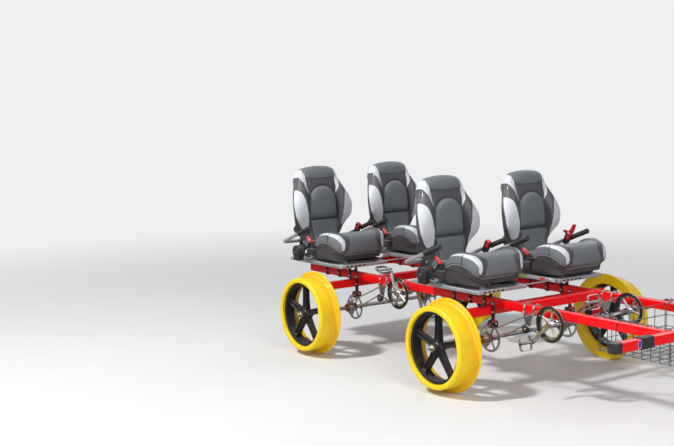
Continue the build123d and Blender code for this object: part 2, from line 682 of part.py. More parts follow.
# Cranksets with their chainrings, chain guards and pedals
chainring_r = pitch_radius(CHAINRING_TEETH)
guard_y = chain_half_width + GUARD_GAP
spider_r = chainring_r - SPIDER_RING + JOIN
post_circle_r = chainring_r - SPIDER_RING + SPIDER_POST_R
for axle, side, angle, tilt in CRANKS:
    crank_x = dict(AXLES)[axle] + CRANK_X
    tube_y = dict(SIDES)[side] * SIDE_TUBE_Y
    chain_y = tube_y - CHAIN_LINE
    name = f"{axle}_{side}"
    with BuildPart() as crankset:
        with BuildSketch(across(crank_x, tube_y + ARM_OUTER, crank_z)):
            Circle(SPINDLE_R)
        extrude(amount=2 * ARM_OUTER)
        with BuildSketch(across(crank_x, chain_y + SPROCKET_THICKNESS / 2, crank_z)):
            add(chain_wheels[CHAINRING_TEETH])
            Circle(chainring_r - SPIDER_RING, mode=Mode.SUBTRACT)
            with PolarLocations(0, SPIDER_ARMS, start_angle=angle):
                with Locations((spider_r / 2, 0)):
                    Rectangle(spider_r, SPIDER_ARM_WIDTH)
            Circle(SPIDER_HUB_R)
        extrude(amount=SPROCKET_THICKNESS)
        with BuildSketch(across(crank_x, chain_y, crank_z)):
            with PolarLocations(post_circle_r, SPIDER_ARMS, start_angle=angle):
                Circle(SPIDER_POST_R)
        extrude(amount=guard_y)
        with BuildSketch(across(crank_x, chain_y, crank_z)):
            Circle(SPIDER_BARREL_R)
        extrude(amount=ARM_OUTER - CHAIN_LINE - JOIN)
        for arm_y, arm_angle in ((tube_y - ARM_OUTER + ARM_THICKNESS, angle), (tube_y + ARM_OUTER, angle + 180)):
            with BuildSketch(across(crank_x, arm_y, crank_z)):
                Circle(ARM_ROOT_R)
                with Locations((CRANK_ARM * cos(radians(arm_angle)), CRANK_ARM * sin(radians(arm_angle)))):
                    Circle(ARM_TIP_R)
                make_hull()
            extrude(amount=ARM_THICKNESS)
    crankset.part.label = f"{name}_crankset"
    export_step(crankset.part, f"parts/{name}_crankset.step")

    with BuildPart() as guard:
        with BuildSketch(across(crank_x, chain_y - guard_y, crank_z)):
            Circle(GUARD_R)
            Circle(GUARD_R - GUARD_RING, mode=Mode.SUBTRACT)
            with PolarLocations(post_circle_r, SPIDER_ARMS, start_angle=angle):
                Circle(GUARD_BOSS_R)
        extrude(amount=GUARD_THICKNESS)
    guard.part.label = f"{name}_chain_guard"
    export_step(guard.part, f"parts/{name}_chain_guard.step")

    with BuildPart() as pedals:
        for sign, arm_angle in ((-1, angle), (1, angle + 180)):
            pedal_x = crank_x + CRANK_ARM * cos(radians(arm_angle))
            pedal_z = crank_z + CRANK_ARM * sin(radians(arm_angle))
            arm_face_y = tube_y + sign * ARM_OUTER
            pedal_y = arm_face_y + sign * (PEDAL_GAP + PEDAL_WIDTH / 2)
            body_plane = Plane(
                origin=(pedal_x, pedal_y, pedal_z),
                x_dir=(cos(radians(tilt)), 0, sin(radians(tilt))),
                z_dir=(-sin(radians(tilt)), 0, cos(radians(tilt))),
            )
            window_width = (PEDAL_LENGTH - 2 * PEDAL_AXLE_R - 2 * PEDAL_FRAME) / 2
            with BuildSketch(body_plane.offset(-PEDAL_HEIGHT / 2)):
                RectangleRounded(PEDAL_LENGTH, PEDAL_WIDTH, 2 * PEDAL_FRAME)
                for end in (-1, 1):
                    with Locations((end * (PEDAL_AXLE_R + window_width / 2), 0)):
                        Rectangle(window_width, PEDAL_WIDTH - 2 * PEDAL_FRAME, mode=Mode.SUBTRACT)
            extrude(amount=PEDAL_HEIGHT)
            with BuildSketch(across(pedal_x, max(arm_face_y, pedal_y), pedal_z)):
                Circle(PEDAL_AXLE_R)
            extrude(amount=abs(arm_face_y - pedal_y))
    pedals.part.label = f"{name}_pedals"
    export_step(pedals.part, f"parts/{name}_pedals.step")

# Seat trays: two sheets with turned-down edges and the thin bars that join them
for axle, axle_x in AXLES:
    with BuildPart() as trays:
        tray_length = TRAY_FRONT - TRAY_REAR
        tray_mid_x = axle_x + (TRAY_FRONT + TRAY_REAR) / 2
        for side, sign in SIDES:
            with BuildSketch(Plane(origin=(tray_mid_x, sign * SIDE_TUBE_Y, TRAY_TOP_Z - TRAY_LIP))):
                Rectangle(tray_length, 2 * TRAY_HALF_WIDTH)
            extrude(amount=TRAY_LIP)
            with BuildSketch(Plane(origin=(tray_mid_x, sign * SIDE_TUBE_Y, TRAY_TOP_Z - TRAY_LIP))):
                Rectangle(tray_length - 2 * TRAY_SHEET, 2 * TRAY_HALF_WIDTH - 2 * TRAY_SHEET)
            extrude(amount=TRAY_LIP - TRAY_SHEET, mode=Mode.SUBTRACT)
        for bar_x in (TRAY_FRONT - TRAY_BAR_WIDTH, TRAY_REAR):
            with BuildSketch(Plane(origin=(axle_x + bar_x + TRAY_BAR_WIDTH / 2, 0, TRAY_TOP_Z - TRAY_SHEET))):
                Rectangle(TRAY_BAR_WIDTH, 2 * (SIDE_TUBE_Y - TRAY_HALF_WIDTH + JOIN))
            extrude(amount=TRAY_SHEET)
    trays.part.label = f"{axle}_seat_trays"
    export_step(trays.part, f"parts/{axle}_seat_trays.step")

# Risers: black saddles that straddle the side tubes and carry the trays
with BuildPart() as risers:
    riser_top = TRAY_TOP_Z - TRAY_SHEET
    riser_bottom = side_bottom_z - RISER_LEG
    for axle, axle_x in AXLES:
        for side, sign in SIDES:
            for riser_x in RISER_XS:
                with BuildSketch(lengthwise(axle_x + riser_x, sign * SIDE_TUBE_Y, 0)):
                    with Locations((0, (riser_top + riser_bottom) / 2)):
                        Rectangle(TUBE + 2 * RISER_LEG, riser_top - riser_bottom)
                    with Locations((0, side_mid_z)):
                        Rectangle(TUBE, TUBE, mode=Mode.SUBTRACT)
                    with Locations((0, (SIDE_TOP_Z + riser_top) / 2)):
                        Rectangle(TUBE, riser_top - SIDE_TOP_Z - 2 * RISER_LEG, mode=Mode.SUBTRACT)
                extrude(amount=RISER_WIDTH)
risers.part.label = "tray_risers"
export_step(risers.part, "parts/tray_risers.step")

# Slide rails on the trays
with BuildPart() as slides:
    for axle, axle_x in AXLES:
        for side, sign in SIDES:
            for slide_sign in (-1, 1):
                rail_y = sign * SIDE_TUBE_Y + slide_sign * SLIDE_Y
                rail_plane = lengthwise(axle_x + cushion_rear, rail_y, TRAY_TOP_Z)
                with BuildSketch(rail_plane):
                    with Locations((0, SLIDE_FOOT / 2)):
                        Rectangle(SLIDE_BASE, SLIDE_FOOT)
                    with Locations((0, SLIDE_HEIGHT / 2)):
                        Rectangle(SLIDE_HEAD, SLIDE_HEIGHT)
                extrude(amount=TRAY_FRONT - cushion_rear - SLIDE_INSET)
slides.part.label = "seat_slides"
export_step(slides.part, "parts/seat_slides.step")

# Seats: a cushion with a raised front roll, and a high back with wings
cushion_bottom = TRAY_TOP_Z + SLIDE_HEIGHT + SEAT_GAP
cushion_top = cushion_bottom + CUSHION_HEIGHT
dip, rear_drop = CUSHION_DIP
chin_points = [(CUSHION_FRONT - back, cushion_bottom + up) for back, up in CUSHION_CHIN]
roll_points = [(CUSHION_FRONT - back, cushion_top - down) for back, down in CUSHION_ROLL]
dip_point = (CUSHION_FRONT - dip[0], cushion_top - dip[1])
right_corner = [(CUSHION_FRONT - back, inward - CUSHION_HALF_WIDTH) for back, inward in CUSHION_CORNER]
left_corner = [(x, -y) for x, y in reversed(right_corner)]
for axle, axle_x in AXLES:
    for side, sign in SIDES:
        seat_x = axle_x + SEAT_SLIDES[axle, side]
        seat_y = sign * SIDE_TUBE_Y
        with BuildPart() as cushion:
            with BuildSketch(across(seat_x, seat_y + CUSHION_HALF_WIDTH, 0)):
                with BuildLine():
                    chin = ThreePointArc(*chin_points)
                    roll = ThreePointArc(chin @ 1, *roll_points)
                    seat = ThreePointArc(roll @ 1, dip_point, (cushion_rear, cushion_top - rear_drop))
                    Polyline(seat @ 1, (cushion_rear, cushion_bottom), chin @ 0)
                make_face()
            extrude(amount=2 * CUSHION_HALF_WIDTH)
            with BuildSketch(Plane(origin=(seat_x, seat_y, cushion_bottom))):
                with BuildLine():
                    ThreePointArc(*right_corner)
                    ThreePointArc(*left_corner)
                    Line(right_corner[-1], left_corner[0])
                    Polyline(
                        left_corner[-1],
                        (cushion_rear, CUSHION_HALF_WIDTH),
                        (cushion_rear, -CUSHION_HALF_WIDTH),
                        right_corner[0],
                    )
                make_face()
            extrude(amount=CUSHION_HEIGHT, mode=Mode.INTERSECT)
        cushion.part.label = f"{axle}_{side}_seat_cushion"
        export_step(cushion.part, f"parts/{axle}_{side}_seat_cushion.step")

        with BuildPart() as seat_back:
            back_plane = Plane(
                origin=(seat_x + BACK_X, seat_y, BACK_Z),
                x_dir=(0, 1, 0),
                z_dir=(cos(lean), 0, sin(lean)),
            )
            with BuildSketch(back_plane.offset(-BACK_THICKNESS)):
                with BuildLine():
                    edge = Polyline((0, BACK_BOTTOM), (BACK_FOOT_HALF_WIDTH, BACK_BOTTOM), BACK_WAIST)
                    for arc_middle, arc_end in BACK_CURVES:
                        edge = ThreePointArc(edge @ 1, arc_middle, arc_end)
                    mirror(about=Plane.YZ)
                make_face()
            extrude(amount=BACK_THICKNESS)
        seat_back.part.label = f"{axle}_{side}_seat_back"
        export_step(seat_back.part, f"parts/{axle}_{side}_seat_back.step")

# Seat brackets: from the tray's rear edge up to the handle bar and the foot of the back
bracket_top = HANDLE_BEND_Z + BRACKET_HEAD
back_rear_x = BACK_X - BACK_THICKNESS / cos(lean) - SEAT_GAP
with BuildPart() as seat_brackets:
    for axle, axle_x in AXLES:
        for side, sign in SIDES:
            slide = SEAT_SLIDES[axle, side]
            for bracket_sign in (-1, 1):
                bracket_y = sign * SIDE_TUBE_Y + bracket_sign * BRACKET_Y
                with BuildSketch(across(axle_x, bracket_y + BRACKET_THICKNESS / 2, 0)):
                    Polygon(
                        (TRAY_REAR + BRACKET_INSET, TRAY_TOP_Z),
                        (slide + back_rear_x + (BACK_Z - TRAY_TOP_Z) * tan(lean), TRAY_TOP_Z),
                        (slide + back_rear_x + (BACK_Z - bracket_top) * tan(lean), bracket_top),
                        (slide + HANDLE_BEND_X - BRACKET_NOSE, bracket_top),
                        align=None,
                    )
                    with Locations((slide + HANDLE_BEND_X, HANDLE_BEND_Z)):
                        Circle(HANDLE_R + SNUG_FIT, mode=Mode.SUBTRACT)
                extrude(amount=BRACKET_THICKNESS)
seat_brackets.part.label = "seat_brackets"
export_step(seat_brackets.part, "parts/seat_brackets.step")

# Handle bars: one bent tube behind each seat that comes forward and up on both sides
rise = radians(HANDLE_RISE)
tip_x = HANDLE_BEND_X + HANDLE_ARM * cos(rise)
tip_z = HANDLE_BEND_Z + HANDLE_ARM * sin(rise)
for axle, axle_x in AXLES:
    with BuildPart() as handle_bars:
        for side, sign in SIDES:
            seat_x = axle_x + SEAT_SLIDES[axle, side]
            seat_y = sign * SIDE_TUBE_Y
            with BuildLine() as route:
                FilletPolyline(
                    (seat_x + tip_x, seat_y - HANDLE_Y, tip_z),
                    (seat_x + HANDLE_BEND_X, seat_y - HANDLE_Y, HANDLE_BEND_Z),
                    (seat_x + HANDLE_BEND_X, seat_y + HANDLE_Y, HANDLE_BEND_Z),
                    (seat_x + tip_x, seat_y + HANDLE_Y, tip_z),
                    radius=HANDLE_BEND_R,
                )
            with BuildSketch(Plane(origin=route.line @ 0, z_dir=route.line % 0)):
                Circle(HANDLE_R)
            sweep(path=route.line)
    handle_bars.part.label = f"{axle}_handle_bars"
    export_step(handle_bars.part, f"parts/{axle}_handle_bars.step")

with BuildPart() as hand_grips:
    for axle, axle_x in AXLES:
        for side, sign in SIDES:
            grip_x = axle_x + SEAT_SLIDES[axle, side] + tip_x + GRIP_END * cos(rise)
            for grip_sign in (-1, 1):
                grip_y = sign * SIDE_TUBE_Y + grip_sign * HANDLE_Y
                grip_plane = Plane(
                    origin=(grip_x, grip_y, tip_z + GRIP_END * sin(rise)),
                    z_dir=(-cos(rise), 0, -sin(rise)),
                )
                with BuildSketch(grip_plane):
                    Circle(GRIP_R)
                extrude(amount=GRIP_LENGTH)
                with BuildSketch(grip_plane.offset(GRIP_END)):
                    Circle(HANDLE_R + SNUG_FIT)
                extrude(amount=GRIP_LENGTH, mode=Mode.SUBTRACT)
hand_grips.part.label = "hand_grips"
export_step(hand_grips.part, "parts/hand_grips.step")

# Seat belt units: a retractor and a buckle on the right of each seat, a buckle on a stalk on its left
with BuildPart() as belt_units:
    for axle, axle_x in AXLES:
        for side, sign in SIDES:
            seat_x = axle_x + SEAT_SLIDES[axle, side]
            seat_y = sign * SIDE_TUBE_Y
            for belt_sign, belt_reach, foot, buckle_x, buckle_z, slope in BUCKLES:
                belt_y = seat_y + belt_sign * belt_reach
                lug_start = TRAY_HALF_WIDTH - LUG_OVERLAP
                lug_mid_y = seat_y + belt_sign * (belt_reach + lug_start) / 2
                with BuildSketch(Plane(origin=(seat_x + foot, lug_mid_y, TRAY_TOP_Z))):
                    Rectangle(RETRACTOR_LENGTH, belt_reach - lug_start)
                extrude(amount=LUG_SHEET)
                if belt_sign < 0:
                    with BuildSketch(Plane(origin=(seat_x + foot, belt_y, TRAY_TOP_Z + LUG_SHEET))):
                        RectangleRounded(RETRACTOR_LENGTH, RETRACTOR_WIDTH, BELT_ROUND)
                    extrude(amount=RETRACTOR_HEIGHT)
                with BuildSketch(across(seat_x, belt_y + STALK_THICKNESS / 2, 0)):
                    Polygon(
                        (foot - STALK_FOOT / 2, TRAY_TOP_Z + LUG_SHEET / 2),
                        (foot + STALK_FOOT / 2, TRAY_TOP_Z + LUG_SHEET / 2),
                        (buckle_x + STALK_TIP / 2, buckle_z),
                        (buckle_x - STALK_TIP / 2, buckle_z),
                        align=None,
                    )
                extrude(amount=STALK_THICKNESS)
                with BuildSketch(across(seat_x, belt_y + BUCKLE_WIDTH / 2, 0)):
                    with Locations(Location((buckle_x, buckle_z), slope)):
                        RectangleRounded(BUCKLE_LENGTH, BUCKLE_HEIGHT, BELT_ROUND)
                extrude(amount=BUCKLE_WIDTH)
belt_units.part.label = "belt_units"
export_step(belt_units.part, "parts/belt_units.step")

# Brake lever, clamped behind the outer grip of the front left seat
lever_at = HANDLE_ARM - GRIP_LENGTH - LEVER_BEHIND_GRIP
lever_x = front_axle_x + SEAT_SLIDES["front", "left"] + HANDLE_BEND_X + lever_at * cos(rise)
lever_z = HANDLE_BEND_Z + lever_at * sin(rise)
with BuildPart() as brake_lever:
    lever_y = SIDE_TUBE_Y + HANDLE_Y
    with BuildSketch(Plane(origin=(lever_x, lever_y, lever_z), z_dir=(cos(rise), 0, sin(rise)))):
        Circle(HANDLE_R + SNUG_FIT + LEVER_CLAMP_WALL)
        Circle(HANDLE_R + SNUG_FIT, mode=Mode.SUBTRACT)
    extrude(amount=LEVER_CLAMP_WIDTH)
    with BuildSketch(across(lever_x, lever_y + LEVER_THICKNESS / 2, lever_z)):
        Polygon(*LEVER_OUTLINE, align=None)
    extrude(amount=LEVER_THICKNESS)
brake_lever.part.label = "brake_lever"
export_step(brake_lever.part, "parts/brake_lever.step")

# Wire basket between the side tubes, hung on their top faces
basket_length = BASKET_FRONT - BASKET_REAR
hook_y = side_gap + HOOK_REACH
with BuildPart() as basket:
    for number in range(BASKET_HOOPS):
        hoop_x = front_axle_x + BASKET_REAR + number * (basket_length - WIRE) / (BASKET_HOOPS - 1)
        with BuildSketch(lengthwise(hoop_x, 0, 0)):
            with Locations((0, BASKET_BOTTOM_Z + WIRE / 2)):
                Rectangle(2 * BASKET_HALF_WIDTH, WIRE)
            for sign in (-1, 1):
                with Locations((sign * (BASKET_HALF_WIDTH - WIRE / 2), (BASKET_BOTTOM_Z + SIDE_TOP_Z + WIRE) / 2)):
                    Rectangle(WIRE, SIDE_TOP_Z + WIRE - BASKET_BOTTOM_Z)
                with Locations((sign * (BASKET_HALF_WIDTH + hook_y) / 2, SIDE_TOP_Z + WIRE / 2)):
                    Rectangle(hook_y - BASKET_HALF_WIDTH + 2 * WIRE, WIRE)
        extrude(amount=WIRE)
    wall_height = SIDE_TOP_Z - BASKET_BOTTOM_Z
    with BuildSketch(lengthwise(front_axle_x + BASKET_REAR, 0, 0)):
        for number in range(BASKET_RUNS):
            run_y = (number / (BASKET_RUNS - 1) - 0.5) * 2 * (BASKET_HALF_WIDTH - WIRE / 2)
            with Locations((run_y, BASKET_BOTTOM_Z + WIRE / 2)):
                Rectangle(WIRE, WIRE)
        for sign in (-1, 1):
            for level in range(1, BASKET_LEVELS + 1):
                level_z = BASKET_BOTTOM_Z + WIRE / 2 + level * wall_height / BASKET_LEVELS
                with Locations((sign * (BASKET_HALF_WIDTH - WIRE / 2), level_z)):
                    Rectangle(WIRE, WIRE)
    extrude(amount=basket_length)
    for end_x in (BASKET_REAR, BASKET_FRONT - WIRE):
        with BuildSketch(lengthwise(front_axle_x + end_x, 0, 0)):
            for level in range(1, BASKET_LEVELS + 1):
                level_z = BASKET_BOTTOM_Z + WIRE / 2 + level * wall_height / BASKET_LEVELS
                with Locations((0, level_z)):
                    Rectangle(2 * BASKET_HALF_WIDTH - WIRE, WIRE)
            for number in range(1, BASKET_RUNS - 1):
                run_y = (number / (BASKET_RUNS - 1) - 0.5) * 2 * (BASKET_HALF_WIDTH - WIRE / 2)
                with Locations((run_y, (BASKET_BOTTOM_Z + SIDE_TOP_Z + WIRE) / 2)):
                    Rectangle(WIRE, wall_height)
        extrude(amount=WIRE)
basket.part.label = "wire_basket"
export_step(basket.part, "parts/wire_basket.step")
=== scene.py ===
import math

import bmesh
import bpy
from mathutils import Matrix, Vector


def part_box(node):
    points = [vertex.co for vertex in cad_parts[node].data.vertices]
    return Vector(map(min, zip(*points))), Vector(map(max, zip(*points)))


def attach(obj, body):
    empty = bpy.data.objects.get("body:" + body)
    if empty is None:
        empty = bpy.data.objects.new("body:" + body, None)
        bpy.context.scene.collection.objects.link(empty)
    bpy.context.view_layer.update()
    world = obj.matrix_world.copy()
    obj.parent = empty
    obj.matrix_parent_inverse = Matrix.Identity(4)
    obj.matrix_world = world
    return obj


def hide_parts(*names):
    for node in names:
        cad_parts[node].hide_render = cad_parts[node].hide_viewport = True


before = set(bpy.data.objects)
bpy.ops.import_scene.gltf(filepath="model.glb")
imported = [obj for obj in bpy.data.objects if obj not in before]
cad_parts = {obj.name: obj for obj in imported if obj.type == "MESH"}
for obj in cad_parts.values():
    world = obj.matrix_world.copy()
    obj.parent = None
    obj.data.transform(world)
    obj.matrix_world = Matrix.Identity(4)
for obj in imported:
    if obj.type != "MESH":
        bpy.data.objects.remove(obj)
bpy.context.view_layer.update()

bl_info = {
    "name": "Four-Seat Pedal Handcar",
    "version": (1, 0, 0),
    "blender": (4, 5, 0),
    "location": "3D View > Sidebar > Handcar",
    "description": "Dresses the packed frame of a four-seat pedal railway handcar",
    "category": "Add Mesh",
}

SIDES = {"right": -1, "left": 1}


def middle(node):
    """Middle of a frame node's box."""
    low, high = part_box(node)
    return (low + high) / 2


AXLES = {axle: middle(f"{axle}_axle_shaft") for axle in ("front", "rear")}
SEATS = {
    (axle, side): Vector((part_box(f"{axle}_{side}_seat_cushion")[1].x - 0.088, middle(f"side_tube_{side}").y, 0))
    for axle in AXLES for side in SIDES
}
CRANKS = {
    (axle, side): Vector((middle(f"{axle}_{side}_chain_guard").x, SEATS[axle, side].y,
                          middle(f"{axle}_{side}_chain_guard").z))
    for axle in AXLES for side in SIDES
}
CRANK_REST = {  # angle of the right-hand arm, tilt of the pedals
    ("front", "right"): (225.0, -78.0),
    ("front", "left"): (202.0, 25.0),
    ("rear", "right"): (110.0, -20.0),
    ("rear", "left"): (60.0, 10.0),
}
TUBE_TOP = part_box("side_tube_right")[1].z
TUBE_MID = middle("side_tube_right").z
CHAIN_LINE = 0.070          # from a side tube's middle to its chain, towards -Y
DISC_LINE = 0.051           # from a chain to its brake disc
TUBE = 0.0508
SHAFT = 0.0125              # radius of an axle shaft
SHAFT_BORE = 0.0126         # radius of the wheels' and hubs' bores on it
FLANGE_DEPTH = 0.033        # from the flange's edge down to the tread
RING_WALL = 0.0352          # from the tread down to the rim of the wheel inside the ring


# Properties


def colour_property(name, description, default):
    return bpy.props.FloatVectorProperty(
        name=name, description=description, subtype="COLOR", size=3, min=0, max=1, default=default)


class HandcarColours(bpy.types.PropertyGroup):
    """Colours of the handcar's finishes."""

    frame_red: colour_property("Frame red", "Gloss paint of the frame tubes", (0.86, 0.001, 0.003))
    tread_yellow: colour_property("Tread yellow", "Moulded rings that run on the rails", (0.95, 0.66, 0.0))
    seat_grey: colour_property("Seat grey", "Middle panels of the seats", (0.135, 0.150, 0.163))
    seat_charcoal: colour_property("Seat charcoal", "Dark bands beside the middle panels", (0.046, 0.044, 0.051))
    seat_silver: colour_property("Seat silver", "Crescents on the bolsters", (0.66, 0.67, 0.72))
    seat_skirt: colour_property("Seat skirt", "Lower sides of the cushions", (0.032, 0.026, 0.027))


class HandcarSizes(bpy.types.PropertyGroup):
    """Sizes of the dressed pieces."""

    ring_sides: bpy.props.IntProperty(
        name="Ring segments", description="Segments round a tread ring", min=24, max=256, default=128)
    spokes: bpy.props.IntProperty(
        name="Spokes", description="Spokes of each moulded wheel", min=3, max=9, default=5)
    wire: bpy.props.FloatProperty(
        name="Basket wire", description="Diameter of the basket's wire",
        subtype="DISTANCE", unit="LENGTH", min=0.002, max=0.01, default=0.005)
    grain: bpy.props.FloatProperty(
        name="Vinyl grain", description="Size of the grain on the seat covers",
        subtype="DISTANCE", unit="LENGTH", min=0.0005, max=0.01, default=0.0016)


# Shader kit


class Link:
    """A shader socket. Python's operators on it add Math nodes."""

    def __init__(self, net, socket):
        self.net = net
        self.socket = socket

    def maths(self, operation, *values):
        return self.net.node("ShaderNodeMath", {"operation": operation}, dict(enumerate(values))).out(0)

    def __add__(self, other):
        return self.maths("ADD", self, other)

    def __radd__(self, other):
        return self.maths("ADD", other, self)

    def __sub__(self, other):
        return self.maths("SUBTRACT", self, other)

    def __rsub__(self, other):
        return self.maths("SUBTRACT", other, self)

    def __mul__(self, other):
        return self.maths("MULTIPLY", self, other)

    def __rmul__(self, other):
        return self.maths("MULTIPLY", other, self)

    def above(self, edge, width):
        """0 below edge - width / 2 and 1 above edge + width / 2, with a smooth step between them."""
        settings = {"interpolation_type": "SMOOTHSTEP"}
        values = {"Value": self, "From Min": edge - width / 2, "From Max": edge + width / 2}
        return self.net.node("ShaderNodeMapRange", settings, values).out("Result")

    def clamped(self):
        return self.maths("MINIMUM", self.maths("MAXIMUM", self, 0.0), 1.0)


class Piece:
    """A node of a shader, whose outputs come as links."""

    def __init__(self, net, node):
        self.net = net
        self.node = node

    def out(self, name):
        return Link(self.net, self.node.outputs[name])


class Net:
    """Node tree of one finish, or of the world."""

    def __init__(self, name, world=False):
        self.material = (bpy.data.worlds if world else bpy.data.materials).new(name)
        self.material.use_nodes = True
        self.tree = self.material.node_tree
        self.tree.nodes.clear()
        if not world:
            self.place = self.node("ShaderNodeTexCoord").out("Object")

    def node(self, kind, settings=None, values=None):
        """Adds a node. Its settings are set first, then the values or links of its sockets."""
        node = self.tree.nodes.new(kind)
        for name, setting in (settings or {}).items():
            setattr(node, name, setting)
        for name, value in (values or {}).items():
            if isinstance(value, Link):
                self.tree.links.new(value.socket, node.inputs[name])
            else:
                node.inputs[name].default_value = value
        return Piece(self, node)

    def noise(self, scale, detail=3.0, roughness=0.5, place=None, stretch=None):
        """Noise from 0 to 1, scale in features for each metre."""
        place = place or self.place
        if stretch:
            place = self.node("ShaderNodeVectorMath", {"operation": "MULTIPLY"},
                              {0: place, 1: stretch}).out("Vector")
        values = {"Vector": place, "Scale": scale, "Detail": detail, "Roughness": roughness}
        return self.node("ShaderNodeTexNoise", None, values).out("Fac")

    def cells(self, scale, feature="F1", output="Distance"):
        values = {"Vector": self.place, "Scale": scale}
        return self.node("ShaderNodeTexVoronoi", {"feature": feature}, values).out(output)

    def facing_up(self):
        normal = self.node("ShaderNodeNewGeometry").out("Normal")
        return self.node("ShaderNodeSeparateXYZ", None, {0: normal}).out("Z")

    def field(self, name):
        """A number that the mesh carries at each of its points."""
        return self.node("ShaderNodeAttribute", {"attribute_name": name}).out("Fac")

    def mix(self, factor, first, second):
        """Colour between two colours, each a link or an (r, g, b)."""
        first, second = (c if isinstance(c, Link) else (*c, 1.0) for c in (first, second))
        values = {0: factor, 6: first, 7: second}
        return self.node("ShaderNodeMix", {"data_type": "RGBA"}, values).out(2)

    def bump(self, height, distance, strength):
        values = {"Height": height, "Distance": distance, "Strength": strength}
        return self.node("ShaderNodeBump", None, values).out("Normal")

    def finish(self, **values):
        """Ends the tree in a Principled BSDF, whose sockets are named with underscores, and gives the material."""
        named = {}
        for name, value in values.items():
            name = name.replace("_", " ").title().replace("Ior", "IOR")
            if name.endswith("Color") and not isinstance(value, Link):
                value = (*value, 1.0)
            named[name] = value
        surface = self.node("ShaderNodeBsdfPrincipled", None, named).out("BSDF")
        self.node("ShaderNodeOutputMaterial", None, {"Surface": surface})
        return self.material


def tone(colour, factor):
    return tuple(min(1.0, c * factor) for c in colour)


# Finishes

finishes = {}


def finish(make_finish):
    """Keeps each finish after it is first made."""
    def kept(*key):
        if (make_finish.__name__, key) not in finishes:
            finishes[make_finish.__name__, key] = make_finish(*key)
        return finishes[make_finish.__name__, key]
    return kept


def settled_dust(net, base, amount=0.35, dust=(0.42, 0.38, 0.33)):
    """Thin road dust on faces that look up, broken up by noise. Gives the colour and the dust's mask."""
    mask = net.facing_up().above(0.55, 0.8) * net.noise(9.0, 5.0, 0.6).above(0.52, 0.35) * amount
    return net.mix(mask, base, dust), mask


@finish
def red_paint():
    net = Net("red_paint")
    red = tuple(bpy.context.scene.handcar_colours.frame_red)
    cloud = net.noise(3.0, 2.0)
    base = net.mix(cloud, tone(red, 0.88), red)
    scratches = net.noise(70.0, 2.0, 0.5, stretch=(0.25, 3.0, 4.0)).above(0.74, 0.03) * \
        net.noise(4.0, 3.0).above(0.56, 0.1)
    base = net.mix(scratches * 0.35, base, (0.86, 0.22, 0.18))
    chips = net.noise(120.0, 1.0).above(0.78, 0.02) * net.noise(5.0, 2.0).above(0.6, 0.08)
    base = net.mix(chips, base, (0.10, 0.055, 0.05))
    base, dust = settled_dust(net, base, 0.07)
    peel = net.noise(420.0, 2.0)
    roughness = 0.24 + 0.10 * net.noise(14.0, 4.0) + dust * 0.9 + scratches * 0.2
    return net.finish(
        base_color=base, roughness=roughness, specular_ior_level=0.32, coat_weight=0.18, coat_roughness=0.08,
        normal=net.bump(peel - chips * 0.8, 0.0006, 0.25),
    )


@finish
def tread_yellow():
    net = Net("tread_yellow")
    yellow = tuple(bpy.context.scene.handcar_colours.tread_yellow)
    base = net.mix(net.noise(6.0, 3.0), tone(yellow, 0.93), yellow)
    # Orange in the fillet by the flange is painted shade, where the hollow falls in shadow.
    base = net.mix(net.field("painted_hollow_shade") * (0.45 + 0.25 * net.noise(20.0, 3.0)), base, (0.86, 0.34, 0.0))
    # The running band is rougher from rubbing, and its orange tint is painted shade.
    rubbing_and_painted_shade = net.field("running") * (0.35 + 0.65 * net.noise(26.0, 4.0, 0.6, stretch=(1, 6, 1)))
    base = net.mix(rubbing_and_painted_shade * 0.16, base, (0.80, 0.42, 0.0))
    grime = net.noise(38.0, 6.0, 0.65).above(0.63, 0.14) * 0.30
    base = net.mix(grime, base, (0.36, 0.22, 0.04))
    lines = net.noise(1.0, 2.0, stretch=(3.0, 900.0, 3.0))
    roughness = 0.34 + 0.12 * net.noise(17.0, 3.0) + rubbing_and_painted_shade * 0.12
    return net.finish(
        base_color=base, roughness=roughness, coat_weight=0.15, coat_roughness=0.3,
        normal=net.bump(lines * 0.6 + net.noise(180.0, 3.0) * 0.5, 0.0004, 0.35),
    )


@finish
def black_moulding(name="black_moulding", base=(0.020, 0.020, 0.022), rough=0.36):
    net = Net(name)
    colour = net.mix(net.noise(8.0, 3.0), tone(base, 0.8), tone(base, 1.35))
    colour, dust = settled_dust(net, colour, 0.22)
    spark = net.noise(700.0, 2.0)
    scuffs = net.noise(40.0, 3.0, 0.6, stretch=(1, 3, 1)).above(0.70, 0.06)
    colour = net.mix(scuffs * 0.35, colour, (0.10, 0.10, 0.105))
    return net.finish(
        base_color=colour, roughness=rough + 0.14 * net.noise(20.0, 3.0) + dust * 0.6,
        normal=net.bump(spark, 0.0004, 0.30),
    )


@finish
def black_rubber():
    net = Net("black_rubber")
    colour = net.mix(net.noise(12.0, 4.0), (0.014, 0.014, 0.015), (0.030, 0.030, 0.031))
    colour, _ = settled_dust(net, colour, 0.30)
    pores = net.cells(900.0)
    return net.finish(
        base_color=colour, roughness=0.68 + 0.15 * net.noise(30.0, 3.0),
        normal=net.bump(pores + net.noise(60.0, 3.0) * 0.5, 0.0005, 0.35),
    )


@finish
def bright_metal(name="bright_metal", base=(0.74, 0.74, 0.75), rough=0.16, grime=0.15):
    """Polished or plated metal, with dull patches and dark dirt in places."""
    net = Net(name)
    dull = net.noise(16.0, 5.0, 0.6)
    dirt = net.noise(55.0, 5.0, 0.7).above(0.60, 0.16) * grime
    colour = net.mix(dirt, net.mix(dull, tone(base, 0.86), base), (0.09, 0.075, 0.06))
    lines = net.noise(1.0, 2.0, stretch=(60.0, 900.0, 900.0))
    return net.finish(
        base_color=colour, metallic=1.0 - dirt * 0.9, roughness=rough + 0.16 * dull + dirt * 0.9,
        normal=net.bump(lines, 0.0002, 0.18),
    )


def ground_steel():
    return bright_metal("ground_steel", (0.66, 0.66, 0.67), 0.20, 0.25)


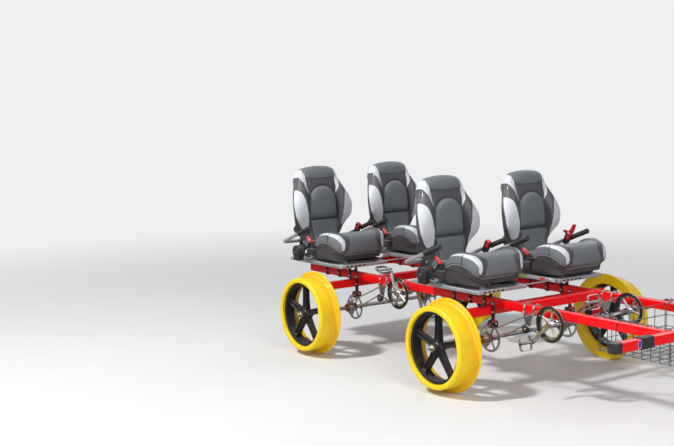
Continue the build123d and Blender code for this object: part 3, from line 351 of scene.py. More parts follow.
@finish
def rolled_alloy():
    """Sheet of the seat trays: brushed along its length, stained and dusty."""
    net = Net("rolled_alloy")
    stain = net.noise(7.0, 5.0, 0.6)
    brush = net.noise(1.0, 3.0, 0.6, stretch=(18.0, 700.0, 700.0))
    base = net.mix(stain.above(0.5, 0.5), (0.55, 0.55, 0.56), (0.70, 0.70, 0.71))
    base, dust = settled_dust(net, base, 0.45)
    return net.finish(
        base_color=base, metallic=0.92 - dust * 0.8,
        roughness=0.34 + 0.22 * stain + 0.12 * brush + dust * 0.5,
        normal=net.bump(brush, 0.0003, 0.25),
    )


@finish
def plain_colour(name, colour, rough=0.4, coat=0.2):
    """Small coloured plastic, paint or tape, with a slight mottle and fine wear."""
    net = Net(name)
    mottle = net.noise(40.0, 4.0)
    wear = net.noise(160.0, 4.0, 0.65).above(0.66, 0.1) * 0.25
    base = net.mix(wear, net.mix(mottle, tone(colour, 0.85), colour), tone(colour, 0.45))
    return net.finish(
        base_color=base, roughness=rough + 0.15 * mottle, coat_weight=coat,
        normal=net.bump(net.noise(500.0, 2.0), 0.0003, 0.2),
    )


@finish
def satin_tube():
    """Light grey coating of the handle bars, scuffed dark in places."""
    net = Net("satin_tube")
    colour = net.mix(net.noise(22.0, 4.0), (0.40, 0.40, 0.41), (0.56, 0.56, 0.57))
    worn = net.noise(60.0, 5.0, 0.65).above(0.62, 0.10)
    colour = net.mix(worn * 0.6, colour, (0.10, 0.09, 0.085))
    return net.finish(
        base_color=colour, metallic=0.55 - worn * 0.4, roughness=0.30 + 0.15 * net.noise(30.0, 3.0) + worn * 0.2,
        coat_weight=0.2, normal=net.bump(net.noise(650.0, 2.0), 0.0003, 0.25),
    )


# Mesh kit

TIP = 0.0001                # radius that stands for a point on the axis


class Form:
    """Points and faces of a piece while it is made, with the number of each face's finish."""

    def __init__(self):
        self.points = []
        self.faces = []
        self.numbers = []
        self.number = 0

    def add(self, points, faces):
        start = len(self.points)
        self.points.extend(Vector(point) for point in points)
        self.faces.extend([start + index for index in face] for face in faces)
        self.numbers.extend([self.number] * len(faces))

    def skin(self, rings, along=False):
        """Faces over closed rows of points. along joins the last row to the first, or else both ends are capped."""
        count = len(rings[0])
        faces = []
        for row in range(len(rings) if along else len(rings) - 1):
            after = (row + 1) % len(rings)
            for column in range(count):
                beside = (column + 1) % count
                faces.append((row * count + column, row * count + beside,
                              after * count + beside, after * count + column))
        if not along:
            faces.append(tuple(range(count)))
            faces.append(tuple((len(rings) - 1) * count + column for column in range(count)))
        self.add([point for ring in rings for point in ring], faces)

    def turned(self, profile, at, axis=(0, 1, 0), sides=48, loop=False):
        """A turned shape: rows of (distance along the axis, radius)."""
        axis = Vector(axis).normalized()
        side = axis.orthogonal().normalized()
        up = axis.cross(side)
        rings = []
        for along, radius in profile:
            ring = []
            for number in range(sides):
                angle = 2 * math.pi * number / sides
                ring.append(Vector(at) + axis * along
                            + (side * math.cos(angle) + up * math.sin(angle)) * radius)
            rings.append(ring)
        self.skin(rings, along=loop)

    def solid(self, profile, at, axis=(0, 1, 0), sides=48):
        """A turned shape without a bore: both ends are closed on the axis."""
        self.turned([(profile[0][0], TIP), *profile, (profile[-1][0], TIP)], at, axis, sides)

    def rod(self, path, radius, sides=12, loop=False):
        """A round bar along points; radius is one number or one for each point."""
        path = [Vector(point) for point in path]
        radii = radius if isinstance(radius, (list, tuple)) else [radius] * len(path)
        rings = []
        normal = None
        for number, point in enumerate(path):
            before = path[number - 1] if number or loop else point
            after = path[(number + 1) % len(path)] if number + 1 < len(path) or loop else point
            tangent = (after - before).normalized()
            if normal is None:
                normal = tangent.orthogonal()
            normal = (normal - tangent * normal.dot(tangent)).normalized()
            beside = tangent.cross(normal)
            rings.append([
                point + (normal * math.cos(2 * math.pi * n / sides)
                         + beside * math.sin(2 * math.pi * n / sides)) * radii[number]
                for n in range(sides)
            ])
        self.skin(rings, along=loop)

    def brick(self, size, place):
        """A box of a size (a, b, c) centred in a matrix's frame."""
        if not isinstance(place, Matrix):
            place = Matrix.Translation(place)
        half = Vector(size) / 2
        corners = [place @ Vector((x * half.x, y * half.y, z * half.z))
                   for x in (-1, 1) for y in (-1, 1) for z in (-1, 1)]
        self.add(corners, [(0, 1, 3, 2), (4, 6, 7, 5), (0, 4, 5, 1), (2, 3, 7, 6), (0, 2, 6, 4), (1, 5, 7, 3)])

    def plate(self, outlines, place, thickness, edge=0.0):
        """A flat plate from closed outlines, the inner ones holes, from the matrix's plane towards its +Z."""
        curve = bpy.data.curves.new("plate", "CURVE")
        curve.dimensions = "2D"
        curve.fill_mode = "BOTH"
        curve.extrude = thickness / 2 - edge
        curve.bevel_depth = edge
        curve.bevel_resolution = 1
        curve.offset = -edge
        for outline in outlines:
            spline = curve.splines.new("POLY")
            spline.points.add(len(outline) - 1)
            for point, (x, y) in zip(spline.points, outline):
                point.co = (x, y, 0, 1)
            spline.use_cyclic_u = True
        holder = bpy.data.objects.new("plate", curve)
        mesh = bpy.data.meshes.new_from_object(holder)
        place = place @ Matrix.Translation((0, 0, thickness / 2))
        self.add([place @ vertex.co for vertex in mesh.vertices],
                 [tuple(polygon.vertices) for polygon in mesh.polygons])
        bpy.data.objects.remove(holder)
        bpy.data.curves.remove(curve)
        bpy.data.meshes.remove(mesh)

    def hex_head(self, at, axis, across=0.013, height=0.006, washer=True):
        """A hexagon head or nut that stands on a surface, with its washer."""
        if washer:
            self.turned([(0, across * 0.35), (0, across * 0.85), (0.0015, across * 0.85), (0.0015, across * 0.3)],
                        at, axis, 20)
        base = Vector(at) + Vector(axis).normalized() * (0.0015 if washer else 0)
        radius = across / math.sqrt(3)
        self.turned([(0, radius * 0.3), (0, radius), (height * 0.85, radius), (height, radius * 0.86),
                     (height, radius * 0.2)], base, axis, 6)
        self.solid([(height, across * 0.28), (height + 0.003, across * 0.28), (height + 0.0035, across * 0.22)],
                   base, axis, 12)

    def loft(self, place, stations, steps=3):
        """Rounded sections along a frame's X, each (distance, height, width, corner)."""
        self.skin([[place @ Vector((along, v, u)) for u, v in rounded(height, width, corner, steps)]
                   for along, height, width, corner in stations])

    def bar(self, low, high, axis, corner, edge=0.0008):
        """A bar between two corners of its box, rounded along X (axis 0) or Y (axis 1)."""
        size = high - low
        place = Matrix.Translation((low + high) / 2) @ Matrix.Rotation(math.pi / 2 * axis, 4, "Z")
        half, width = size[axis] / 2, size[1 - axis]
        self.loft(place, [(along, size.z - inset, width - inset, corner - inset / 2) for along, inset in
                          ((-half, 2 * edge), (edge - half, 0), (half - edge, 0), (half, 2 * edge))], 4)

    def copied(self, other, place):
        """Adds another form's faces, moved by a matrix."""
        start = len(self.points)
        self.points.extend(place @ point for point in other.points)
        self.faces.extend([start + index for index in face] for face in other.faces)
        self.numbers.extend(other.numbers)


def across(x, y, z):
    """Frame of a plate that lies in X and Z and grows towards +Y."""
    return Matrix(((1, 0, 0, x), (0, 0, 1, y), (0, 1, 0, z), (0, 0, 0, 1)))


def lengthwise(x, y, z):
    """Frame of a plate that lies in Y and Z and grows towards +X."""
    return Matrix(((0, 0, 1, x), (1, 0, 0, y), (0, 1, 0, z), (0, 0, 0, 1)))


def aligned(origin, direction):
    """Frame with its X along a direction that has no Y, and its Y as it is."""
    x, _, z = Vector(direction).normalized()
    origin = Vector(origin)
    return Matrix(((x, 0, -z, origin.x), (0, 1, 0, origin.y), (z, 0, x, origin.z), (0, 0, 0, 1)))


def rounded(width, height, corner, steps=4, at=(0, 0)):
    """Outline of a rectangle with round corners."""
    outline = []
    for number in range(4):
        x = at[0] + (width / 2 - corner) * (1, -1, -1, 1)[number]
        y = at[1] + (height / 2 - corner) * (1, 1, -1, -1)[number]
        for step in range(steps + 1):
            angle = math.pi / 2 * (number + step / steps)
            outline.append((x + corner * math.cos(angle), y + corner * math.sin(angle)))
    return outline


def filleted(points, radius, steps=8):
    """Line through points, with its corners bent to a radius."""
    points = [Vector(point) for point in points]
    line = points[:1]
    for before, corner, after in zip(points, points[1:], points[2:]):
        back, ahead = (before - corner).normalized(), (after - corner).normalized()
        half = back.angle(ahead) / 2
        centre = corner + (back + ahead).normalized() * radius / math.sin(half)
        first = corner + back * radius / math.tan(half) - centre
        last = corner + ahead * radius / math.tan(half) - centre
        turn, axis = first.angle(last), first.cross(last)
        line += [centre + Matrix.Rotation(turn * step / steps, 3, axis) @ first for step in range(steps + 1)]
    return line + points[-1:]


def circle(radius, sides=32, at=(0, 0)):
    return [(at[0] + radius * math.cos(2 * math.pi * n / sides),
             at[1] + radius * math.sin(2 * math.pi * n / sides)) for n in range(sides)]


def spread(angle):
    """Directions in X and Z: outward at an angle, and beside it."""
    return Vector((math.cos(angle), 0, math.sin(angle))), Vector((-math.sin(angle), 0, math.cos(angle)))


def make(name, form, body, finish_list, edge=0.0, steps=2, smooth=35.0, replaces=(), slot=None):
    """Makes the object of a form, gives it its finishes and lets it ride on its body."""
    mesh = bpy.data.meshes.new(name)
    mesh.from_pydata(form.points, [], form.faces)
    mesh.polygons.foreach_set("material_index", form.numbers)
    work = bmesh.new()
    work.from_mesh(mesh)
    bmesh.ops.remove_doubles(work, verts=work.verts, dist=2e-6)
    bmesh.ops.recalc_face_normals(work, faces=work.faces)
    for face in work.faces:
        face.smooth = True
    work.to_mesh(mesh)
    work.free()
    mesh.set_sharp_from_angle(angle=math.radians(smooth))
    piece = bpy.data.objects.new(name, mesh)
    bpy.context.scene.collection.objects.link(piece)
    for material in finish_list:
        mesh.materials.append(material)
    if edge:
        bevel = piece.modifiers.new("edges", "BEVEL")
        bevel.width = edge
        bevel.segments = steps
        bevel.limit_method = "ANGLE"
        bevel.angle_limit = math.radians(smooth)
        bevel.harden_normals = True
    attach(piece, body)
    if replaces:
        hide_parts(*replaces)
    return piece


def dress(node, form, body, slot, finish_list, **looks):
    """Makes the piece that takes the place of a frame node."""
    return make(f"{node}_dressed", form, body, finish_list, replaces=[node], slot=slot, **looks)


# Wheels


class HANDCAR_OT_tread_rings(bpy.types.Operator):
    """Four wide yellow rings with a flange on the inner side"""
    bl_idname = "handcar.tread_rings"
    bl_label = "Tread Rings"

    def execute(self, context):
        sides = context.scene.handcar_sizes.ring_sides
        for axle, centre in AXLES.items():
            for side, sign in SIDES.items():
                node = f"{axle}_tread_ring_{side}"
                low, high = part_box(node)
                inner = min(abs(low.y), abs(high.y))
                outer = max(abs(low.y), abs(high.y))
                flange = (high.z - low.z) / 2
                tread = flange - FLANGE_DEPTH
                profile = [(inner, tread - 0.030), (inner, flange - 0.005)]
                profile += self.turn(inner + 0.005, flange - 0.005, 0.005, 180, 90, 5)
                profile += self.turn(inner + 0.011, flange - 0.005, 0.005, 90, 0, 5)
                profile += [(inner + 0.016, flange - 0.0095), (inner + 0.0148, flange - 0.0105),
                            (inner + 0.0148, flange - 0.0125), (inner + 0.016, flange - 0.0135)]
                profile += self.turn(inner + 0.034, tread + 0.018, 0.018, 180, 270, 9)
                profile += [(inner + 0.060, tread - 0.0004), (inner + 0.095, tread - 0.0012)]
                profile += self.turn(outer - 0.013, tread - 0.0152, 0.013, 90, 0, 8)
                profile += self.turn(outer - 0.006, tread - 0.029, 0.006, 0, -90, 4)
                profile += [(outer - 0.012, tread - 0.035), (inner + 0.004, tread - 0.035)]
                form = Form()
                form.turned([(sign * y, r) for y, r in profile], (centre.x, 0, centre.z), sides=sides, loop=True)
                ring = dress(node, form, f"{axle}_wheelset", "yellow_tread", [tread_yellow()])
                # This field marks the running band, which is rougher and takes painted orange shade.
                running = ring.data.attributes.new("running", "FLOAT", "POINT")
                # This field marks the fillet by the flange, which takes painted shade.
                painted_hollow_shade = ring.data.attributes.new("painted_hollow_shade", "FLOAT", "POINT")
                for number, vertex in enumerate(ring.data.vertices):
                    radius = math.hypot(vertex.co.x - centre.x, vertex.co.z - centre.z)
                    reach = abs(vertex.co.y) - inner
                    running.data[number].value = 1.0 if radius > tread - 0.004 and reach > 0.02 else 0.0
                    outside = 0.0 if radius < tread - 0.020 else 1.0
                    painted_hollow_shade.data[number].value = outside * ease(reach, 0.012, 0.018) * (1 - ease(reach, 0.030, 0.085))
        return {"FINISHED"}

    @staticmethod
    def turn(y, radius, size, first, last, steps):
        """Points of a rounded corner of the profile."""
        points = []
        for number in range(steps + 1):
            angle = math.radians(first + (last - first) * number / steps)
            points.append((y + size * math.cos(angle), radius + size * math.sin(angle)))
        return points


class HANDCAR_OT_spoked_wheels(bpy.types.Operator):
    """Moulded black wheels inside the rings, with ribbed spokes"""
    bl_idname = "handcar.spoked_wheels"
    bl_label = "Spoked Wheels"

    def execute(self, context):
        spokes = context.scene.handcar_sizes.spokes
        for axle, centre in AXLES.items():
            form = Form()
            for side, sign in SIDES.items():
                low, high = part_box(f"{axle}_tread_ring_{side}")
                outer = max(abs(low.y), abs(high.y)) - 0.020
                inner = outer - 0.072
                bore = (high.z - low.z) / 2 - FLANGE_DEPTH - RING_WALL
                mid = (outer + inner) / 2
                rim = [(inner, bore), (inner, bore - 0.016), (inner + 0.002, bore - 0.020),
                       (inner + 0.006, bore - 0.020), (inner + 0.012, bore - 0.014),
                       (mid - 0.010, bore - 0.013), (mid, bore - 0.015), (mid + 0.010, bore - 0.013),
                       (outer - 0.012, bore - 0.014), (outer - 0.006, bore - 0.020),
                       (outer - 0.002, bore - 0.020), (outer, bore - 0.016), (outer, bore)]
                at = (centre.x, 0, centre.z)
                form.turned([(sign * y, r) for y, r in rim], at, sides=120, loop=True)
                hub = [(mid - 0.043, SHAFT_BORE), (mid - 0.043, 0.024), (mid - 0.040, 0.027), (mid - 0.028, 0.029),
                       (mid - 0.022, 0.036), (mid + 0.022, 0.036), (mid + 0.028, 0.029), (mid + 0.036, 0.028),
                       (mid + 0.038, 0.031), (mid + 0.043, 0.031), (mid + 0.043, 0.020), (mid + 0.039, 0.0185),
                       (mid + 0.039, SHAFT_BORE)]
                form.turned([(sign * y, r) for y, r in hub], at, sides=64, loop=True)
                for number in range(spokes):
                    angle = math.pi / 2 + 2 * math.pi * number / spokes
                    self.spoke(form, centre, sign * mid, angle, bore)
            dress(f"{axle}_spoked_wheels", form, f"{axle}_wheelset", "black_wheel",
                  [black_moulding("wheel_moulding", (0.013, 0.013, 0.016), 0.34)], edge=0.0014)
        return {"FINISHED"}

    @staticmethod
    def spoke(form, centre, y, angle, bore):
        """One spoke: an I section that widens at the hub and at the rim."""
        out, beside = spread(angle)
        rings = []
        stations = (  # radius, half width, half thickness, depth of the channel
            (0.026, 0.024, 0.020, 0.0), (0.042, 0.0220, 0.018, 0.0), (0.046, 0.0215, 0.0178, 0.007),
            (0.090, 0.0186, 0.0170, 0.009), (0.140, 0.0168, 0.0165, 0.009), (bore - 0.030, 0.0158, 0.0165, 0.008),
            (bore - 0.025, 0.0170, 0.0170, 0.0), (bore - 0.014, 0.0240, 0.0220, 0.0),
            (bore - 0.011, 0.0280, 0.0240, 0.0),
        )
        for radius, half, thick, depth in stations:
            rib = 0.0048
            section = [(-half, -thick), (-half, thick), (-half + rib, thick), (-half + rib + 0.0018, thick - depth),
                       (half - rib - 0.0018, thick - depth), (half - rib, thick), (half, thick), (half, -thick),
                       (half - rib, -thick), (half - rib - 0.0018, -thick + depth),
                       (-half + rib + 0.0018, -thick + depth), (-half + rib, -thick)]
            rings.append([Vector((centre.x, y, centre.z)) + out * radius + beside * a + Vector((0, b, 0))
                          for a, b in section])
        form.skin(rings)


class HANDCAR_OT_axle_shafts(bpy.types.Operator):
    """Axle shafts with their lock nuts and collars"""
    bl_idname = "handcar.axle_shafts"
    bl_label = "Axle Shafts"

    def execute(self, context):
        for axle, centre in AXLES.items():
            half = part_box(f"{axle}_axle_shaft")[1].y
            form = Form()
            at = (centre.x, 0, centre.z)
            form.solid([(-half, 0.0095), (-half + 0.0025, SHAFT), (half - 0.0025, SHAFT), (half, 0.0095)], at,
                       sides=32)
            for sign in SIDES.values():
                nut = sign * (half - 0.034)
                form.number = 1
                form.turned([(nut, SHAFT), (nut, 0.0215), (nut + sign * 0.003, 0.0235), (nut + sign * 0.015, 0.0235),
                             (nut + sign * 0.018, 0.0210), (nut + sign * 0.018, SHAFT)], at, sides=6, loop=True)
                form.number = 0
                washer = nut - sign * 0.0035
                form.turned([(washer, SHAFT), (washer, 0.0265), (nut, 0.0265), (nut, SHAFT)], at, sides=32,
                            loop=True)
                for collar in (0.655, 0.573):
                    ring = sign * collar
                    form.turned([(ring, SHAFT), (ring, 0.0210), (ring + sign * 0.014, 0.0210),
                                 (ring + sign * 0.014, SHAFT)], at, sides=32, loop=True)
            dress(f"{axle}_axle_shaft", form, f"{axle}_wheelset", "bright_steel",
                  [ground_steel(), bright_metal("plated_nut", (0.78, 0.68, 0.44), 0.22, 0.2)], edge=0.0006)
        return {"FINISHED"}


# Seats


def along(table, position):
    """Row of a table at a position between its first column's values, smooth through the rows."""
    if position <= table[0][0]:
        return table[0][1:]
    if position >= table[-1][0]:
        return table[-1][1:]
    last = len(table) - 1
    number = max(n for n in range(last) if table[n][0] <= position)
    share = (position - table[number][0]) / (table[number + 1][0] - table[number][0])
    rows = [table[min(max(number + offset, 0), last)] for offset in (-1, 0, 1, 2)]
    values = []
    for column in range(1, len(table[0])):
        before, start, end, after = (row[column] for row in rows)
        width = rows[2][0] - rows[1][0]
        leave = (end - before) / (rows[2][0] - rows[0][0]) * width
        reach = (after - start) / (rows[3][0] - rows[1][0]) * width if rows[3] is not rows[2] else end - start
        values.append(
            (2 * share ** 3 - 3 * share ** 2 + 1) * start + (share ** 3 - 2 * share ** 2 + share) * leave
            + (3 * share ** 2 - 2 * share ** 3) * end + (share ** 3 - share ** 2) * reach)
    return values


def through(points, counts):
    """Smooth line through points, with a number of steps for each of its spans."""
    line = []
    last = len(points) - 1
    for number, count in enumerate(counts):
        before, start, end, after = (points[min(max(number + offset, 0), last)] for offset in (-1, 0, 1, 2))
        for step in range(count):
            t = step / count
            line.append(tuple(
                0.5 * (2 * b + (c - a) * t + (2 * a - 5 * b + 4 * c - d) * t ** 2 + (3 * b - 3 * c + d - a) * t ** 3)
                for a, b, c, d in zip(before, start, end, after)))
    line.append(tuple(points[-1]))
    return line


def ease(value, low, high):
    """0 at low, 1 at high, smooth between them."""
    share = min(1.0, max(0.0, (value - low) / (high - low)))
    return share * share * (3 - 2 * share)


def blend(first, second, share):
    return first + (second - first) * share


BACK_X, BACK_Z = -0.350, 0.713      # foot of the back, from the seat's place
BACK_ORIGIN = Vector((BACK_X, 0, BACK_Z))
BACK_LEAN = math.radians(10.7)
CREASE = 0.178                      # height of the crease under the insert, along the back
ARCH_FOOT = 0.300
BACK_TABLE = (  # height, insert half width and depth, ridge, front edge, shell edge, depth of the rear, crease
    (-0.050, 0.100, -0.004, 0.108, -0.007, 0.117, -0.028, 0.120, -0.062, -0.080, 0.001),
    (0.030, 0.104, -0.006, 0.114, -0.009, 0.130, -0.032, 0.150, -0.078, -0.080, 0.001),
    (0.088, 0.109, -0.008, 0.121, -0.012, 0.148, -0.038, 0.203, -0.089, -0.090, 0.001),
    (0.120, 0.113, -0.008, 0.131, -0.004, 0.178, -0.036, 0.223, -0.088, -0.092, 0.003),
    (0.150, 0.117, -0.007, 0.140, 0.008, 0.208, -0.018, 0.226, -0.052, -0.092, 0.005),
    (0.180, 0.120, -0.004, 0.149, 0.023, 0.235, 0.004, 0.240, -0.032, -0.091, 0.007),
    (0.215, 0.122, 0.001, 0.157, 0.036, 0.250, 0.013, 0.248, -0.018, -0.089, 0.007),
    (0.280, 0.119, 0.010, 0.166, 0.046, 0.256, 0.016, 0.250, -0.012, -0.086, 0.007),
    (0.340, 0.116, 0.017, 0.174, 0.045, 0.243, 0.002, 0.240, -0.020, -0.083, 0.005),
    (0.385, 0.116, 0.019, 0.172, 0.037, 0.222, -0.014, 0.223, -0.034, -0.081, 0.001),
    (0.430, 0.120, 0.015, 0.162, 0.021, 0.197, -0.026, 0.206, -0.044, -0.080, 0.000),
    (0.470, 0.124, 0.010, 0.152, 0.005, 0.178, -0.028, 0.197, -0.056, -0.080, 0.000),
    (0.505, 0.119, 0.011, 0.145, 0.001, 0.166, -0.026, 0.180, -0.054, -0.079, 0.000),
    (0.535, 0.103, 0.006, 0.128, -0.004, 0.148, -0.026, 0.155, -0.053, -0.077, 0.000),
    (0.553, 0.079, -0.003, 0.101, -0.010, 0.119, -0.027, 0.122, -0.052, -0.072, 0.000),
    (0.563, 0.043, -0.014, 0.057, -0.018, 0.073, -0.030, 0.075, -0.048, -0.062, 0.000),
    (0.567, 0.014, -0.026, 0.020, -0.028, 0.026, -0.034, 0.028, -0.042, -0.050, 0.000),
)
HALF_STEPS = (4, 4, 3, 3, 3, 4, 5, 5, 4, 3, 3, 3, 3, 3, 2)
HEAD_CRESCENT = (  # height, inner side, outer side
    (0.345, 0.113, 0.113), (0.380, 0.120, 0.134), (0.404, 0.125, 0.147), (0.454, 0.125, 0.159),
    (0.494, 0.131, 0.175), (0.520, 0.137, 0.190), (0.548, 0.142, 0.190),
)
WING_CRESCENT = (  # height, inner side
    (0.112, 0.170), (0.125, 0.147), (0.190, 0.151), (0.277, 0.166), (0.320, 0.175), (0.360, 0.187),
    (0.385, 0.202), (0.398, 0.216), (0.406, 0.240),
)


def back_levels():
    """Heights of the back's rows, close together at the crease and the crown."""
    levels = []
    height = -0.050
    while height < 0.567:
        levels.append(height)
        near_crease = abs(height - CREASE) < 0.016
        height += 0.0025 if near_crease or height > 0.548 else 0.0062
    return levels + [0.567]


def insert_margin(side, height, half):
    """Distance inside the insert's outline, an arch on straight sides."""
    if height > ARCH_FOOT:
        return (1 - math.hypot(side / 0.119, (height - ARCH_FOOT) / 0.116)) * 0.117
    return min(half - side, height - CREASE)


def back_rows():
    """Rows of the back's points (side, height, depth) and the numbers that its finish reads."""
    rows, fields = [], []
    for height in back_levels():
        half, deep, ridge, ridge_deep, edge, edge_deep, shell, shell_deep, rear, crease = along(BACK_TABLE, height)
        step = min(0.008, 0.35 * (ridge - half))
        section = [
            (0, deep + 0.004), (0.50 * half, deep + 0.0032), (0.86 * half, deep + 0.0005),
            (half - 0.005, deep - 0.002), (half, deep - 0.003 - crease), (half + step, deep - 0.002),
            (blend(half, ridge, 0.60), blend(deep, ridge_deep, 0.70)), (ridge, ridge_deep),
            (blend(ridge, edge, 0.52), blend(ridge_deep, edge_deep, 0.34) + 0.003),
            (edge - 0.12 * (edge - ridge), edge_deep + 0.18 * (ridge_deep - edge_deep) + 0.004),
            (edge, edge_deep - 0.006), (blend(edge, shell, 0.55) + 0.002, blend(edge_deep, shell_deep, 0.60)),
            (shell, shell_deep), (0.80 * shell, blend(shell_deep, rear, 0.85)), (0.50 * shell, rear),
            (0, rear),
        ]
        line = through(section, HALF_STEPS)
        fronts = sum(HALF_STEPS[:10])
        row, row_fields = [], []
        white_inner = along(WING_CRESCENT, height)[0]
        crescent_inner, crescent_outer = along(HEAD_CRESCENT, height)
        for number, (side, depth) in enumerate(line):
            front = number <= fronts
            margin = insert_margin(side, height, half)
            if front and side < half + 0.012:
                fade = 1 - ease(side, half - 0.001, half + 0.012)
                swell = 0.0120 * (1 - math.exp(-max(margin, 0) / 0.017))
                groove = 0.0095 * math.exp(-(margin / 0.0052) ** 2) * (1 if height > 0.165 else 0)
                width = 0.011 if height < CREASE else 0.019
                under = 0.017 * math.exp(-((height - CREASE) / width) ** 2) * ease(half - side, -0.004, 0.010)
                lumbar = 0.004 * ease(CREASE - height, 0.0, 0.02) * ease(height, -0.05, 0.02)
                depth += (swell - groove + lumbar) * fade - under
            row.append((side, height, depth))
            seam = 0.474 + 0.012 * (side / 0.125) ** 2
            if front:
                cap = min(height - seam, crescent_inner - side)
                lumbar_panel = min(CREASE - height, half - 0.002 - side)
                grey = max(margin if side < half + 0.02 else -0.02, cap, lumbar_panel)
                head = min(side - crescent_inner, crescent_outer - side) if 0.345 < height < 0.548 else -0.02
                outer = edge - side + depth - edge_deep + 0.006
                wing = min(side - white_inner, outer) if 0.105 < height < 0.406 else -0.02
            else:
                grey = height - 0.500
                head = -0.02 if height < 0.49 or height > 0.545 else min(depth + 0.070, 0.02)
                grey = min(grey, -head)
                wing = -math.hypot(side - edge, depth - edge_deep + 0.006)
            silver = max(head, wing)
            edges = [abs(grey), abs(silver)]
            if front and height < ARCH_FOOT:
                edges.append(abs(side - half))
            row_fields.append((grey, silver, min(edges)))
        rows.append(row)
        fields.append(row_fields)
    return rows, fields


def mirrored_ring(half_row):
    """Closes a half row over the middle plane."""
    return half_row + [(-side, *rest) for side, *rest in reversed(half_row[1:-1])]


CUSHION_BOTTOM = 0.6348
CUSHION_HALF = 0.236
PIPING = (  # place behind or before the axle, height of the piping above the skirt
    (-0.340, 0.690), (-0.220, 0.702), (-0.175, 0.725), (-0.116, 0.755), (-0.066, 0.763), (-0.016, 0.757),
    (0.028, 0.737), (0.059, 0.712), (0.072, 0.693), (0.088, 0.680),
)
FRONT_PIPING = 0.6765
GREY_EDGE = (  # height on the front roll, half width of the middle panel
    (0.660, 0.134), (0.700, 0.133), (0.730, 0.129), (0.765, 0.114), (0.790, 0.113), (0.805, 0.124),
    (0.816, 0.142), (0.830, 0.150),
)
NOSE = (  # distance from the middle, front of the cushion
    (0.000, 0.0870), (0.120, 0.0870), (0.160, 0.0850), (0.190, 0.0750), (0.210, 0.0560), (0.226, 0.0200),
    (0.236, -0.0300),
)
CUSHION_CRESCENT = (  # x, side, height, half width of the silver crescent along the bolster
    (-0.150, 0.228, 0.788, 0.0005), (-0.115, 0.231, 0.804, 0.0040), (-0.075, 0.230, 0.814, 0.0075),
    (-0.025, 0.221, 0.817, 0.0115), (0.017, 0.205, 0.811, 0.0165), (0.052, 0.190, 0.797, 0.0185),
    (0.073, 0.176, 0.774, 0.0175), (0.082, 0.169, 0.748, 0.0140), (0.081, 0.171, 0.722, 0.0115),
    (0.077, 0.176, 0.703, 0.0040),
)


def crescent_margin(x, side, height):
    """Distance inside the silver crescent of a cushion's bolster, and how far out of its line a point lies."""
    best, outward = -1.0, 0.0
    point = Vector((x, side, height))
    for (x0, s0, h0, w0), (x1, s1, h1, w1) in zip(CUSHION_CRESCENT, CUSHION_CRESCENT[1:]):
        start, step = Vector((x0, s0, h0)), Vector((x1 - x0, s1 - s0, h1 - h0))
        share = min(1.0, max(0.0, (point - start).dot(step) / step.length_squared))
        offset = point - start - step * share
        margin = blend(w0, w1, share) - offset.length
        if margin > best:
            best, outward = margin, offset[1] - offset[2]
    return best, outward


def cushion_section(side):
    """Outline of the cushion at a distance from its middle, from the rear foot forward and back over the top."""
    nose = along(NOSE, side)[0]
    raised = ease(side, 0.120, 0.178)
    foot = CUSHION_BOTTOM
    tops = []
    for (flat_x, flat_z), (high_x, high_z) in (
        ((0.000, 0.8225), (-0.020, 0.8255)), ((-0.045, 0.8120), (-0.062, 0.8285)),
        ((-0.095, 0.7910), (-0.106, 0.8200)), ((-0.150, 0.7700), (-0.146, 0.7960)),
        ((-0.215, 0.7550), (-0.176, 0.7600)), ((-0.275, 0.7490), (-0.222, 0.7430)),
        ((-0.325, 0.7450), (-0.325, 0.7380)),
    ):
        tops.append((blend(flat_x, high_x, raised), blend(flat_z, high_z, raised)))
    return [
        (-0.3385, foot + 0.014), (-0.330, foot), (-0.150, foot), (nose - 0.058, foot), (nose - 0.044, foot + 0.005),
        (nose - 0.040, foot + 0.024), (nose - 0.030, foot + 0.042), (nose - 0.016, foot + 0.051),
        (nose - 0.003, foot + 0.070), (nose, foot + 0.104), (nose - 0.007, foot + 0.140),
        (nose - 0.024, foot + 0.169), (nose - 0.052, foot + 0.184),
    ] + tops + [(-0.3385, 0.730)]


SECTION_STEPS = (3, 10, 8, 3, 4, 4, 4, 4, 6, 6, 6, 6, 6, 6, 7, 7, 8, 8, 7, 4, 16)


def cushion_rows():
    """Rows of the cushion's points (x, side, height), from its middle out, with the numbers its finish reads."""
    rows = []
    rounding = 0.030
    edge = CUSHION_HALF - rounding
    plan = [(0.0078 * number, 0.0) for number in range(int(edge / 0.0078) + 1)]
    for number in range(1, 9):
        angle = math.pi / 2 * number / 8
        plan.append((edge + rounding * math.sin(angle), rounding * (1 - math.cos(angle))))
    for number in range(1, 9):
        plan.append((CUSHION_HALF + 0.002 * number / 8, rounding + number * 0.0062))
    for side, inset in plan:
        outline = cushion_section(min(side, CUSHION_HALF))
        line = through(outline + outline[:1], SECTION_STEPS[:len(outline)])[:-1]
        row = []
        for x, z in line:
            centre_x = min(max(x, -0.255), 0.0)
            centre_z = 0.715
            reach = math.hypot(x - centre_x, z - centre_z)
            share = min(0.97, inset / reach) if reach > 1e-6 else 0
            row.append((blend(x, centre_x, share), side, blend(z, centre_z, share)))
        rows.append(row)
    return rows


